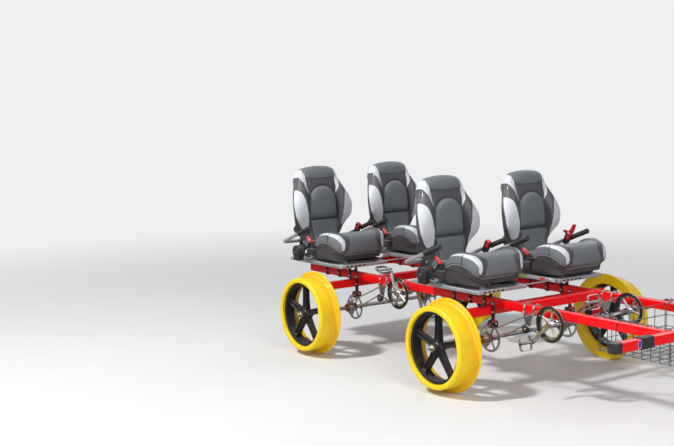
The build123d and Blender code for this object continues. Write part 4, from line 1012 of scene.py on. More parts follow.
def settle_cushion(x, side, height):
    """Moves a point of the cushion for the skirt, the narrower rear and the seams, and gives its finish's numbers."""
    piping = blend(FRONT_PIPING, along(PIPING, x)[0], ease(side, 0.135, 0.185))
    above = height - piping
    crescent, outward = crescent_margin(x, side, height)
    grey_half = along(GREY_EDGE, height)[0] if x > 0.03 else 0.150 + 0.012 * ease(-x, 0.13, 0.22)
    centre = grey_half - side
    rear = ease(-x, 0.168, 0.205)
    shift = 0.0
    if side > 0.02:
        shift -= 0.034 * rear * (side / CUSHION_HALF) ** 2
        shift -= 0.006 * ease(-above, -0.001, 0.006) * ease(side, 0.12, 0.2)
        shift -= 0.003 * math.exp(-(above / 0.003) ** 2) * ease(side, 0.12, 0.2)
    lift = 0.0
    if height > 0.72 and side < 0.20:
        lift -= 0.0035 * math.exp(-(centre / 0.0045) ** 2)
    grey = centre if above > 0 else -0.02
    panel = min(-crescent, above, x + 0.185) if outward > 0 and side > 0.12 else -0.02
    grey = max(grey, panel)
    skirt = -above
    seam = min(abs(centre) if above > 0 and side < 0.17 else 1.0, abs(crescent), abs(above))
    if outward > 0 and above > 0:
        seam = min(seam, abs(x + 0.185))
    return shift, lift, (grey, crescent, seam, skirt)


class HANDCAR_OT_seats(bpy.types.Operator):
    """Four moulded seats: high backs with wings, and cushions with side bolsters"""
    bl_idname = "handcar.seats"
    bl_label = "Seats"

    def execute(self, context):
        back, back_fields = self.back()
        cushion, cushion_fields = self.cushion()
        for (axle, side), place in SEATS.items():
            lean = Matrix.Rotation(-BACK_LEAN, 4, "Y")
            for part, form, fields in (("back", back, back_fields), ("cushion", cushion, cushion_fields)):
                moved = Form()
                matrix = Matrix.Translation(place)
                if part == "back":
                    matrix = Matrix.Translation(place + BACK_ORIGIN) @ lean
                moved.copied(form, matrix)
                node = f"{axle}_{side}_seat_{part}"
                piece = make(f"{node}_cover", moved, "chassis", [self.vinyl()], smooth=80,
                             replaces=[node], slot="seat_vinyl")
                self.carry(piece, matrix, form, fields)
        return {"FINISHED"}

    @staticmethod
    def carry(piece, matrix, form, fields):
        """Writes the numbers for the finish on the cover's points."""
        placed = {}
        for point, numbers in zip(form.points, fields):
            placed[tuple(round(c, 5) for c in matrix @ Vector(point))] = numbers
        plain = (-0.02, -0.02, 0.02, -0.02)
        found = [placed.get(tuple(round(c, 5) for c in vertex.co), plain) for vertex in piece.data.vertices]
        for column, name in enumerate(("grey", "silver", "seam", "skirt")):
            layer = piece.data.attributes.new(name, "FLOAT", "POINT")
            layer.data.foreach_set("value", [numbers[column] for numbers in found])

    @staticmethod
    def back():
        rows, fields = back_rows()
        form, kept = Form(), []
        form.skin([[(depth, side, height) for side, height, depth in mirrored_ring(row)] for row in rows])
        for row_fields in fields:
            for numbers in row_fields + list(reversed(row_fields[1:-1])):
                kept.append((*numbers, -0.02))
        return form, kept

    @staticmethod
    def cushion():
        rows = cushion_rows()
        settled, kept = [], []
        for row in rows:
            ring, numbers = [], []
            for x, side, height in row:
                shift, lift, values = settle_cushion(x, side, height)
                ring.append((x, side + shift, height + lift))
                numbers.append(values)
            settled.append(ring)
            kept.append(numbers)
        form = Form()
        full = [[(x, -side, height) for x, side, height in ring] for ring in reversed(settled[1:])] + settled
        form.skin(full)
        fields = [values for numbers in list(reversed(kept[1:])) + kept for values in numbers]
        return form, fields

    @staticmethod
    @finish
    def vinyl():
        net = Net("seat_vinyl")
        colours = bpy.context.scene.handcar_colours
        size = bpy.context.scene.handcar_sizes.grain
        grey, silver, seam, skirt = (net.field(name) for name in ("grey", "silver", "seam", "skirt"))
        soft = net.noise(11.0, 3.0)
        base = net.mix(grey.above(0.0, 0.0012), tuple(colours.seat_charcoal), tuple(colours.seat_grey))
        base = net.mix(silver.above(0.0, 0.0012), base, tuple(colours.seat_silver))
        base = net.mix(skirt.above(0.0, 0.0012), base, tuple(colours.seat_skirt))
        # The piping band is painted lighter as a painted highlight on its ridge; the bump raises the ridge itself.
        piping = skirt.above(0.0030, 0.0016) * (1.0 - skirt.above(0.0090, 0.0016))
        base = net.mix(piping * 0.9, base, tone(tuple(colours.seat_grey), 2.2))
        base = net.mix(soft * 0.18, base, (0.30, 0.30, 0.31))
        # Seams are painted near black as painted shade inside their grooves; the bump sinks them.
        groove = 1.0 - seam.above(0.0016, 0.0016)
        base = net.mix(groove * 0.75, base, (0.012, 0.012, 0.013))
        base, dust = settled_dust(net, base, 0.10)
        pebbles = net.cells(1.0 / size, "SMOOTH_F1")
        creases = net.noise(30.0, 4.0, 0.6, stretch=(1.0, 0.6, 1.6))
        height = pebbles * 0.5 + creases * 0.35 - groove * 3.0 + piping * 3.0
        shine = silver.above(0.0, 0.001)
        return net.finish(
            base_color=base, roughness=0.44 + 0.12 * soft - shine * 0.06 + dust, coat_weight=0.08,
            normal=net.bump(height, 0.0007, 0.45),
        )


# Drive


PITCH = 0.0127
RING_TEETH = 48
SPROCKET_TEETH = 16
IDLER = Vector((0.356, 0, 0.404))       # forward of the axle, height above the floor
IDLER_RADIUS = 0.020
CRANK_ARM = 0.170
ARM_FACE = 0.100
SPIDER_ARMS = 5


def pitch_radius(teeth):
    return PITCH / (2 * math.sin(math.pi / teeth))


class Belt:
    """Line of a chain in X and Z round its wheels, each (x, z, radius, turn), turn -1 where it bends backwards."""

    def __init__(self, wheels):
        self.parts = []
        runs = []
        for number, (x0, z0, r0, turn0) in enumerate(wheels):
            x1, z1, r1, turn1 = wheels[(number + 1) % len(wheels)]
            heading = math.atan2(z1 - z0, x1 - x0) - math.asin(
                (turn1 * r1 - turn0 * r0) / math.hypot(x1 - x0, z1 - z0))
            nx, nz = math.sin(heading), -math.cos(heading)
            runs.append(((x0 + turn0 * r0 * nx, z0 + turn0 * r0 * nz), (x1 + turn1 * r1 * nx, z1 + turn1 * r1 * nz)))
        for number, (start, end) in enumerate(runs):
            x, z, radius, turn = wheels[(number + 1) % len(wheels)]
            after = runs[(number + 1) % len(runs)][0]
            first = math.atan2(end[1] - z, end[0] - x)
            last = math.atan2(after[1] - z, after[0] - x)
            sweep = (last - first) % math.tau if turn > 0 else -((first - last) % math.tau)
            self.parts.append((math.hypot(end[0] - start[0], end[1] - start[1]), start, end, None))
            self.parts.append((radius * abs(sweep), (x, z), (first, sweep), radius))
        self.length = sum(part[0] for part in self.parts)

    def at(self, distance):
        """Point (x, z) at a distance along the line."""
        distance %= self.length
        for length, start, end, radius in self.parts:
            if distance <= length:
                share = distance / length
                if radius is None:
                    return blend(start[0], end[0], share), blend(start[1], end[1], share)
                angle = end[0] + end[1] * share
                return start[0] + radius * math.cos(angle), start[1] + radius * math.sin(angle)
            distance -= length
        return self.at(0.0)


def chain_belt(axle):
    """Line of an axle's chains."""
    centre, crank = AXLES[axle], CRANKS[axle, "right"]
    return Belt((
        (centre.x, centre.z, pitch_radius(SPROCKET_TEETH), 1),
        (centre.x + IDLER.x, IDLER.z, IDLER_RADIUS, -1),
        (crank.x, crank.z, pitch_radius(RING_TEETH), 1),
    ))


def chain_pins(axle):
    """Places (x, z) of the pins of an axle's chains."""
    belt = chain_belt(axle)
    count = 2 * round(belt.length / PITCH / 2)
    return [belt.at(number * belt.length / count) for number in range(count)]


def pin_phase(axle, wheel_x, wheel_z, radius):
    """Angle of a pin that lies on a chain wheel."""
    touching = [(x, z) for x, z in chain_pins(axle) if abs(math.hypot(x - wheel_x, z - wheel_z) - radius) < 4e-4]
    x, z = touching[len(touching) // 2]
    return math.atan2(z - wheel_z, x - wheel_x)


def toothed(teeth, phase=0.0):
    """Outline of a chain wheel with a gap between its teeth at an angle."""
    radius = pitch_radius(teeth)
    outline = []
    for number in range(teeth):
        for share, height in ((0.0, -0.0039), (0.17, -0.0033), (0.27, -0.0014), (0.37, 0.0012), (0.45, 0.0030),
                              (0.55, 0.0030), (0.63, 0.0012), (0.73, -0.0014), (0.83, -0.0033)):
            angle = phase + math.tau * (number + share) / teeth
            outline.append(((radius + height) * math.cos(angle), (radius + height) * math.sin(angle)))
    return outline


class HANDCAR_OT_chains(bpy.types.Operator):
    """Roller chains with their single links"""
    bl_idname = "handcar.chains"
    bl_label = "Chains"

    def execute(self, context):
        for axle in AXLES:
            form = Form()
            pins = chain_pins(axle)
            for side in SIDES:
                y = SEATS[axle, side].y - CHAIN_LINE
                for number, (x, z) in enumerate(pins):
                    after = pins[(number + 1) % len(pins)]
                    self.link(form, (x, z), after, y, number % 2)
            dress(f"{axle}_chains", form, "chassis", "bright_steel",
                  [bright_metal("chain_steel", (0.72, 0.70, 0.68), 0.22, 0.2),
                   bright_metal("roller_steel", (0.74, 0.72, 0.70), 0.16, 0.2)],
                  smooth=50)
        return {"FINISHED"}

    @staticmethod
    def link(form, start, end, y, outer):
        """Two plates of a link with the roller and pin at its start."""
        middle_x, middle_z = (start[0] + end[0]) / 2, (start[1] + end[1]) / 2
        heading = math.atan2(end[1] - start[1], end[0] - start[0])
        half = math.hypot(end[0] - start[0], end[1] - start[1]) / 2
        outline = []
        for centre in (half, -half):
            for angle in (-115, -70, -25, 25, 70, 115):
                turn = math.radians(angle) + (0 if centre > 0 else math.pi)
                outline.append((centre + 0.00425 * math.cos(turn), 0.00425 * math.sin(turn)))
            outline.append((0, math.copysign(0.0031, centre)))
        place = across(middle_x, 0, middle_z) @ Matrix.Rotation(heading, 4, "Z")
        count = len(outline)
        form.number = 0
        near, far = (0.0033, 0.0039) if outer else (0.0025, 0.0032)
        for sign in (-1, 1):
            points = [place @ Vector((u, v, y + sign * depth)) for depth in (near, far) for u, v in outline]
            faces = [tuple(range(count)), tuple(range(count, 2 * count))]
            faces += [(n, (n + 1) % count, count + (n + 1) % count, count + n) for n in range(count)]
            form.add(points, faces)
        form.number = 1
        if outer:
            form.solid([(-0.0046, 0.0019), (0.0046, 0.0019)], (start[0], y, start[1]), sides=6)
            form.solid([(-0.0046, 0.0019), (0.0046, 0.0019)], (end[0], y, end[1]), sides=6)
        form.rod([(start[0], y - 0.0025, start[1]), (start[0], y + 0.0025, start[1])], 0.0039, 8)
        form.number = 0


class HANDCAR_OT_cranksets(bpy.types.Operator):
    """Cranks with their arms, toothed chain wheels, spiders and guards"""
    bl_idname = "handcar.cranksets"
    bl_label = "Cranksets"

    def execute(self, context):
        for (axle, side), crank in CRANKS.items():
            angle = CRANK_REST[axle, side][0]
            form = Form()
            self.chain_wheel(form, axle, crank, math.radians(angle))
            for sign, turn in ((-1, angle), (1, angle + 180)):
                self.arm(form, crank, sign, math.radians(turn))
            form.number = 1
            form.solid([(-ARM_FACE, 0.009), (ARM_FACE, 0.009)], crank, sides=24)
            dress(f"{axle}_{side}_crankset", form, f"{axle}_{side}_crank", "polished_alloy",
                  [bright_metal("polished_alloy", (0.86, 0.86, 0.87), 0.10, 0.15), ground_steel(), black_moulding()],
                  smooth=30)
            self.guard(axle, side, crank, math.radians(angle))
        return {"FINISHED"}

    @staticmethod
    def chain_wheel(form, axle, crank, angle):
        radius = pitch_radius(RING_TEETH)
        chain_y = crank.y - CHAIN_LINE
        phase = pin_phase(axle, crank.x, crank.z, radius)
        place = across(crank.x, chain_y - 0.0012, crank.z)
        form.number = 1
        form.plate([toothed(RING_TEETH, phase), circle(radius - 0.0235, 72)], place, 0.0024, 0.0003)
        form.turned([(0, radius - 0.0080), (0.0018, radius - 0.0092), (0.0018, radius - 0.0195),
                     (0, radius - 0.0215)], (crank.x, chain_y - 0.0029, crank.z), sides=72, loop=True)
        form.number = 0
        for number in range(SPIDER_ARMS):
            turn = angle + math.tau * number / SPIDER_ARMS
            out, beside = spread(turn)
            rings = []
            for reach, half, near, far in ((0.012, 0.0130, -0.0095, 0.0016), (0.026, 0.0100, -0.0085, 0.0012),
                                           (0.050, 0.0072, -0.0066, 0.0012), (0.074, 0.0066, -0.0058, 0.0012),
                                           (0.0835, 0.0082, -0.0058, 0.0012), (0.0915, 0.0058, -0.0058, 0.0012)):
                centre = Vector((crank.x, chain_y, crank.z)) + out * reach
                section = ((-half, far), (-half, near * 0.45), (-half * 0.55, near), (half * 0.55, near),
                           (half, near * 0.45), (half, far))
                rings.append([centre + beside * a + Vector((0, b, 0)) for a, b in section])
            form.skin(rings)
            bolt = Vector((crank.x, chain_y, crank.z)) + out * (radius - 0.011)
            form.number = 1
            form.solid([(0, 0.0030), (0.0012, 0.0052), (0.0026, 0.0060), (0.0040, 0.0060)],
                       bolt - Vector((0, 0.0096, 0)), sides=16)
            form.number = 0
        form.solid([(0.004, 0.0250), (-0.006, 0.0240), (-0.0125, 0.0200), (-0.0155, 0.0170), (-0.0300, 0.0155)],
                   (crank.x, chain_y, crank.z), sides=48)

    @staticmethod
    def arm(form, crank, sign, angle):
        """A crank arm: an eye at each end and a tapered, rounded bar with a shallow channel."""
        out, beside = spread(angle)
        face = Vector((crank.x, crank.y + sign * ARM_FACE, crank.z))
        inward = Vector((0, -sign, 0))
        form.number = 0
        for reach, eye, depth in ((0.0, 0.0170, 0.0140), (CRANK_ARM, 0.0130, 0.0140)):
            form.solid([(0, eye - 0.0035), (0.0012, eye - 0.0012), (0.0040, eye), (depth - 0.003, eye),
                        (depth - 0.0008, eye - 0.0010), (depth, eye - 0.0030)], face + out * reach, inward, 40)
        rings = []
        for number in range(15):
            share = number / 14
            reach = blend(0.004, CRANK_ARM - 0.003, share)
            half = blend(0.0160, 0.0112, ease(share, 0.0, 0.55))
            dish = 0.0016 * ease(share, 0.08, 0.14) * (1 - ease(share, 0.86, 0.92))
            centre = face + out * reach
            section = []
            for a, b in ((-0.55, 0.0), (-0.42, dish), (0.42, dish), (0.55, 0.0), (0.85, 0.0010), (1.0, 0.0042),
                         (1.0, 0.0098), (0.85, 0.0130), (0.55, 0.0140), (-0.55, 0.0140), (-0.85, 0.0130),
                         (-1.0, 0.0098), (-1.0, 0.0042), (-0.85, 0.0010)):
                section.append(centre + beside * (a * half) + inward * b)
            rings.append(section)
        form.skin(rings)
        form.number = 1
        form.turned([(0.0004, TIP), (0.0004, 0.0050), (0.0014, 0.0052), (0.0014, 0.0085), (-0.0010, 0.0105),
                     (-0.0014, 0.0108), (-0.0014, 0.0050), (0.0004, 0.0048)], face, inward, 24)
        form.number = 2
        form.solid([(-0.0006, 0.0046), (0.0008, 0.0046)], face, inward, 6)
        form.number = 1
        form.solid([(-0.0008, 0.0048), (0.0010, 0.0056)], face + out * CRANK_ARM, inward, 20)

    @staticmethod
    def guard(axle, side, crank, angle):
        node = f"{axle}_{side}_chain_guard"
        low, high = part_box(node)
        form = Form()
        at = (crank.x, 0, crank.z)
        profile = [(low.y, 0.0895), (low.y + 0.0008, 0.0885), (high.y - 0.0008, 0.0885), (high.y, 0.0895),
                   (high.y, 0.1030), (high.y - 0.0012, 0.1058), (high.y - 0.0030, 0.1070), (low.y + 0.0030, 0.1070),
                   (low.y + 0.0012, 0.1058), (low.y, 0.1030), (low.y, 0.1008), (low.y + 0.0009, 0.0998),
                   (low.y + 0.0009, 0.0940), (low.y, 0.0930)]
        form.turned(profile, at, sides=96, loop=True)
        for number in range(SPIDER_ARMS):
            turn = angle + math.tau * number / SPIDER_ARMS
            reach = pitch_radius(RING_TEETH) - 0.011
            centre = Vector((crank.x + reach * math.cos(turn), 0, crank.z + reach * math.sin(turn)))
            form.number = 0
            form.solid([(low.y + 0.0006, 0.0078), (low.y + 0.0018, 0.0090), (high.y - 0.0012, 0.0090),
                        (high.y, 0.0080)], centre, sides=20)
            form.number = 1
            form.solid([(low.y - 0.0016, 0.0022), (low.y - 0.0008, 0.0024), (low.y - 0.0008, 0.0046),
                        (low.y + 0.0008, 0.0054)], centre, sides=16)
        dress(node, form, f"{axle}_{side}_crank", "black_plastic",
              [black_moulding("guard_moulding", (0.012, 0.012, 0.013), 0.14), ground_steel()])


class HANDCAR_OT_pedals(bpy.types.Operator):
    """Cage pedals with toothed edges and two windows"""
    bl_idname = "handcar.pedals"
    bl_label = "Pedals"

    def execute(self, context):
        for (axle, side), crank in CRANKS.items():
            angle, tilt = (math.radians(value) for value in CRANK_REST[axle, side])
            form = Form()
            for sign, turn in ((-1, angle), (1, angle + math.pi)):
                centre = Vector((crank.x + CRANK_ARM * math.cos(turn), crank.y + sign * (ARM_FACE + 0.054),
                                 crank.z + CRANK_ARM * math.sin(turn)))
                place = Matrix.Translation(centre) @ Matrix.Rotation(-tilt, 4, "Y")
                self.pedal(form, place, sign)
            dress(f"{axle}_{side}_pedals", form, f"{axle}_{side}_crank", "polished_alloy",
                  [bright_metal("cast_alloy", (0.60, 0.59, 0.61), 0.30, 0.12), ground_steel(), black_rubber()],
                  edge=0.0005, steps=1)
        return {"FINISHED"}

    @staticmethod
    def pedal(form, place, sign):
        half_length, half_width, half_height, corner = 0.044, 0.046, 0.0105, 0.013
        form.number = 0
        run, teeth = half_width - corner, 7
        upper = []
        for number in range(2 * teeth + 1):
            upper.append((blend(-run, run, number / (2 * teeth)), half_height - 0.0028 * (1 - number % 2)))
        band = upper + [(y, -z) for y, z in reversed(upper)]
        for end in (-1, 1):
            form.plate([band], place @ lengthwise(end * (half_length - 0.0019) - 0.0019, 0, 0), 0.0038)
            form.brick((2 * (half_length - corner), 0.0042, 0.0150),
                       place @ Matrix.Translation((0, end * (half_width - 0.0021), 0)))
            for side in (-1, 1):
                middle_x = end * (half_length - corner / 2 - 0.0015)
                middle_y = side * (half_width - corner / 2 - 0.0015)
                form.brick((0.0036, corner * 1.42, 0.0160),
                           place @ Matrix.Translation((middle_x, middle_y, 0))
                           @ Matrix.Rotation(math.radians(45 * end * side), 4, "Z"))
        origin = place @ Vector((0, 0, 0))
        form.solid([(-half_width + 0.002, 0.0095), (-half_width + 0.008, 0.0098), (-0.028, 0.0078), (0.028, 0.0078),
                    (half_width - 0.008, 0.0098), (half_width - 0.002, 0.0095)], origin, sides=28)
        form.number = 2
        cap = sign * half_width
        form.solid([(cap - sign * 0.004, 0.0090), (cap, 0.0090), (cap + sign * 0.0012, 0.0075)], origin, sides=24)
        form.number = 1
        root = -sign * half_width
        form.solid([(root + sign * 0.004, 0.0080), (root - sign * 0.0030, 0.0080), (root - sign * 0.0030, 0.0070),
                    (root - sign * 0.0085, 0.0070)], origin, sides=6)


class HANDCAR_OT_drive_hubs(bpy.types.Operator):
    """Hubs on the axles: freewheels with toothed sprockets, and drilled brake discs"""
    bl_idname = "handcar.drive_hubs"
    bl_label = "Drive Hubs"

    def execute(self, context):
        for axle, centre in AXLES.items():
            form = Form()
            phase = pin_phase(axle, centre.x, centre.z, pitch_radius(SPROCKET_TEETH))
            for side in SIDES:
                y = SEATS[axle, side].y - CHAIN_LINE
                at = (centre.x, y, centre.z)
                form.number = 0
                form.turned([(0.0630, SHAFT_BORE), (0.0630, 0.0200), (0.0610, 0.0220), (0.0560, 0.0220),
                             (0.0545, 0.0205), (0.0475, 0.0205), (0.0460, 0.0262), (0.0430, 0.0262),
                             (0.0410, 0.0190), (0.0250, 0.0190), (0.0215, 0.0215), (0.0205, SHAFT_BORE)],
                            at, sides=48, loop=True)
                form.number = 1
                form.turned([(0.0200, SHAFT_BORE), (0.0200, 0.0240), (0.0185, 0.0265), (-0.0045, 0.0265),
                             (-0.0058, 0.0255), (-0.0058, SHAFT_BORE)], at, sides=48, loop=True)
                form.number = 0
                form.turned([(-0.0060, SHAFT_BORE), (-0.0060, 0.0240), (-0.0075, 0.0262), (-0.0205, 0.0265),
                             (-0.0220, 0.0255), (-0.0220, 0.0232), (-0.0205, 0.0220), (-0.0130, 0.0195),
                             (-0.0115, SHAFT_BORE)], at, sides=48, loop=True)
                form.number = 1
                for teeth, inset in ((SPROCKET_TEETH, 0.0), (20, 0.0080), (24, 0.0135)):
                    place = across(centre.x, y + inset - 0.0012, centre.z)
                    outlines = [toothed(teeth, phase), circle(0.0255, 32)]
                    if teeth == 24:
                        outlines += [circle(0.0042, 12, (0.0355 * math.cos(a), 0.0355 * math.sin(a)))
                                     for a in (math.tau * n / 6 for n in range(6))]
                    form.plate(outlines, place, 0.0024, 0.0003)
                self.disc(form, Vector((centre.x, y + DISC_LINE, centre.z)))
            dress(f"{axle}_drive_hubs", form, f"{axle}_wheelset", "drive_brown",
                  [bright_metal("bronze_metal", (0.52, 0.23, 0.10), 0.26, 0.4), ground_steel(),
                   bright_metal("disc_steel", (0.70, 0.69, 0.68), 0.20, 0.12)],
                  smooth=30)
        return {"FINISHED"}

    @staticmethod
    def disc(form, at):
        arms, outer, inner = 6, 0.0900, 0.0740
        outlines = [circle(outer, 96)]
        for number in range(arms):
            start = math.tau * number / arms
            window = []
            for reach, first, last in ((inner, 0.14, 0.94), (0.0300, 0.98, 0.36)):
                for step in range(9):
                    angle = start + blend(first, last, step / 8) * math.tau / arms
                    window.append((reach * math.cos(angle), reach * math.sin(angle)))
            outlines.append(window)
        for number in range(24):
            for row, reach in enumerate((0.0785, 0.0855)):
                angle = math.tau * (number + 0.5 * row) / 24
                outlines.append(circle(0.0023, 8, (reach * math.cos(angle), reach * math.sin(angle))))
        form.number = 2
        form.plate(outlines, across(at.x, at.y - 0.0012, at.z), 0.0024)
        form.number = 1
        for number in range(arms):
            angle = math.tau * (number + 0.17) / arms
            spot = at + Vector((0.0262 * math.cos(angle), 0.0012, 0.0262 * math.sin(angle)))
            form.solid([(0, 0.0044), (0.0024, 0.0040), (0.0030, 0.0024)], spot, sides=12)


class HANDCAR_OT_brake_calipers(bpy.types.Operator):
    """Mechanical disc brake calipers under the axle carriers"""
    bl_idname = "handcar.brake_calipers"
    bl_label = "Brake Calipers"

    def execute(self, context):
        form = Form()
        for axle, centre in AXLES.items():
            for side in SIDES:
                self.caliper(form, centre.x + TUBE / 2, SEATS[axle, side].y - CHAIN_LINE + DISC_LINE,
                             SEATS[axle, side].y - TUBE / 2)
        dress("brake_calipers", form, "chassis", "black_plastic",
              [black_moulding(), bright_metal(), plain_colour("adjuster_red", (0.42, 0.055, 0.06), 0.3),
               plain_colour("cable_red", (0.70, 0.01, 0.01), 0.3)],
              edge=0.0010)
        return {"FINISHED"}

    @staticmethod
    def caliper(form, x, disc_y, tube_face):
        """Two halves astride the disc, a strap up the tube's face, the adjusting wheels and the cable's arm."""
        form.number = 0
        form.brick((0.006, 0.026, 0.1005), (x + 0.003, disc_y, 0.4358))
        form.brick((0.019, 0.005, 0.124), (x + 0.010, tube_face - 0.0025, 0.458))
        outline = [(-0.028, 0.361), (-0.020, 0.355), (0.018, 0.355), (0.028, 0.364), (0.028, 0.390), (0.018, 0.401),
                   (-0.020, 0.401), (-0.028, 0.393)]
        for low in (-0.0190, 0.0044):
            form.plate([outline], across(x, disc_y + low, 0), 0.0146)
        form.brick((0.038, 0.0100, 0.0170), (x, disc_y, 0.3920))
        form.number = 1
        for z in (0.505, 0.455):
            form.hex_head((x + 0.010, tube_face - 0.005, z), (0, -1, 0), 0.011, 0.005)
        form.turned([(-0.006, TIP), (-0.0052, 0.0030), (-0.0030, 0.0052), (0, 0.006), (0.0030, 0.0052),
                     (0.0052, 0.0030), (0.006, TIP)], (x + 0.036, disc_y - 0.006, 0.384), (1, 0, 0), 16)
        for end in (-1, 1):
            for bolt in (-0.019, 0.019):
                form.hex_head((x + bolt, disc_y + end * 0.019, 0.393), (0, end, 0), 0.008, 0.004, False)
            form.solid([(end * 0.019, 0.0050), (end * 0.0285, 0.0050), (end * 0.0295, 0.0040)],
                       (x - 0.002, disc_y, 0.3735), sides=12)
            form.number = 2
            form.turned([(end * 0.019, 0.0052), (end * 0.019, 0.0128), (end * 0.0205, 0.0140),
                         (end * 0.0255, 0.0140), (end * 0.0270, 0.0125), (end * 0.0270, 0.0052)],
                        (x - 0.002, disc_y, 0.3735), sides=24, loop=True)
            form.number = 1
        form.number = 3
        form.rod([(x + 0.012, disc_y - 0.004, 0.417), (x + 0.018, disc_y - 0.005, 0.410),
                  (x + 0.027, disc_y - 0.006, 0.398), (x + 0.032, disc_y - 0.006, 0.390)],
                 [0.0055, 0.0072, 0.0072, 0.0050], 12)
        form.number = 1
        form.solid([(0, 0.0032), (0.012, 0.0032), (0.013, 0.0024)],
                   (x + 0.0235, disc_y - 0.024, 0.366), (1, 0, 0.2), 10)


class HANDCAR_OT_crank_brackets(bpy.types.Operator):
    """Crank bearings under the side tubes, with their clamps and the idler wheels"""
    bl_idname = "handcar.crank_brackets"
    bl_label = "Crank Brackets"

    def execute(self, context):
        for axle, centre in AXLES.items():
            form, idlers = Form(), Form()
            for side in SIDES:
                crank = CRANKS[axle, side]
                self.bearing(form, centre, crank)
                for clamp in (0.296, 0.372):
                    self.clamp(form, centre.x + clamp, crank.y)
                self.idler(idlers, form, centre, crank)
            dress(f"{axle}_crank_brackets", form, "chassis", "bright_steel", [bright_metal(), black_moulding()],
                  edge=0.0010)
            make(f"{axle}_idlers", idlers, "chassis",
                 [black_moulding(), bright_metal("brass_bush", (0.60, 0.40, 0.14), 0.25), bright_metal()],
                 smooth=40, slot="bright_steel")
        return {"FINISHED"}

    @staticmethod
    def bearing(form, centre, crank):
        bottom = TUBE_TOP - TUBE
        rear, front = centre.x + 0.280, crank.x + 0.020
        form.number = 0
        form.brick((front - rear, 0.066, 0.003), ((front + rear) / 2, crank.y, bottom - 0.0015))
        shell = [(-0.034, 0.0092), (-0.034, 0.0180), (-0.0325, 0.0200), (0.0325, 0.0200), (0.034, 0.0180),
                 (0.034, 0.0092)]
        form.turned(shell, crank, sides=40, loop=True)
        for sign in (-1, 1):
            web = across(crank.x, crank.y + sign * 0.024 - 0.002, crank.z)
            form.plate([[(-0.019, 0.006), (-0.024, 0.0215), (0.020, 0.0215), (0.019, 0.006)]], web, 0.004)
            ring = sign * 0.034
            form.number = 1
            form.turned([(ring, 0.0100), (ring, 0.0175), (ring + sign * 0.0040, 0.0175), (ring + sign * 0.0050, 0.0160),
                         (ring + sign * 0.0050, 0.0100)], crank, sides=12, loop=True)
            form.number = 0

    @staticmethod
    def clamp(form, x, y):
        """A strap round the side tube, with nuts on its outer and upper faces."""
        outer = 0.0312
        outlines = [rounded(2 * outer, 2 * outer, 0.0080), rounded(TUBE + 0.0004, TUBE + 0.0004, 0.0045)]
        form.number = 0
        form.plate(outlines, lengthwise(x, y, TUBE_MID), 0.016)
        for sign in (-1, 1):
            form.brick((0.016, 0.010, 0.012), (x + 0.008, y + sign * 0.0330, TUBE_MID - 0.019))
            form.hex_head((x + 0.008, y + sign * outer, TUBE_MID + 0.012), (0, sign, 0), 0.0100, 0.0050)
            form.hex_head((x + 0.008, y + sign * 0.0375, TUBE_MID - 0.019), (0, sign, 0), 0.0085, 0.0040, False)
        form.hex_head((x + 0.008, y, TUBE_MID + outer), (0, 0, 1), 0.0100, 0.0050)

    @staticmethod
    def idler(idlers, form, centre, crank):
        bottom = TUBE_TOP - TUBE
        chain_y = crank.y - CHAIN_LINE
        web = chain_y + 0.0159
        at = Vector((centre.x + IDLER.x, 0, IDLER.z))
        outline = [(-0.035, bottom - at.z), (0.035, bottom - at.z), (0.035, bottom - at.z - 0.005)]
        for step in range(9):
            angle = math.radians(blend(22, -202, step / 8))
            outline.append((0.015 * math.cos(angle), 0.015 * math.sin(angle)))
        outline.append((-0.035, bottom - at.z - 0.005))
        form.number = 0
        form.plate([outline, circle(0.0062, 16)], across(at.x, web, at.z), 0.006)
        form.brick((0.070, crank.y - 0.033 - web, 0.003), (at.x, (crank.y - 0.033 + web) / 2, bottom - 0.0015))
        for x in (-0.022, 0.022):
            form.hex_head((at.x + x, web + 0.016, bottom - 0.003), (0, 0, -1), 0.010, 0.005)
        hub = (at.x, chain_y, at.z)
        idlers.number = 0
        idlers.turned([(-0.0066, 0.0070), (-0.0066, 0.0250), (-0.0058, 0.0262), (-0.0050, 0.0255), (-0.0046, 0.0160),
                       (0.0046, 0.0160), (0.0050, 0.0255), (0.0058, 0.0262), (0.0066, 0.0250), (0.0066, 0.0070)],
                      hub, sides=40, loop=True)
        idlers.number = 1
        idlers.turned([(-0.0076, 0.0045), (-0.0076, 0.0092), (-0.0066, 0.0100), (0.0066, 0.0100), (0.0076, 0.0092),
                       (0.0076, 0.0045)], hub, sides=24, loop=True)
        idlers.number = 2
        idlers.solid([(-0.0092, 0.0046), (0.0159, 0.0046)], hub, sides=16)
        idlers.hex_head((at.x, chain_y - 0.0070, at.z), (0, -1, 0), 0.010, 0.0045, False)


# Frame


SEAT_SLIDES = {key: place.x - AXLES[key[0]].x for key, place in SEATS.items()}


def weld(form, place):
    """A rippled bead of weld round the end of a tube."""
    outline = rounded(TUBE + 0.001, TUBE + 0.001, 0.005, 3)
    path = []
    for (a, b), (c, d) in zip(outline, outline[1:] + outline[:1]):
        count = max(1, round(math.hypot(c - a, d - b) / 0.0045))
        path += [place @ Vector((blend(a, c, n / count), blend(b, d, n / count), 0)) for n in range(count)]
    form.rod(path, [0.0024 + 0.0008 * (n % 2) for n in range(len(path))], 6, loop=True)


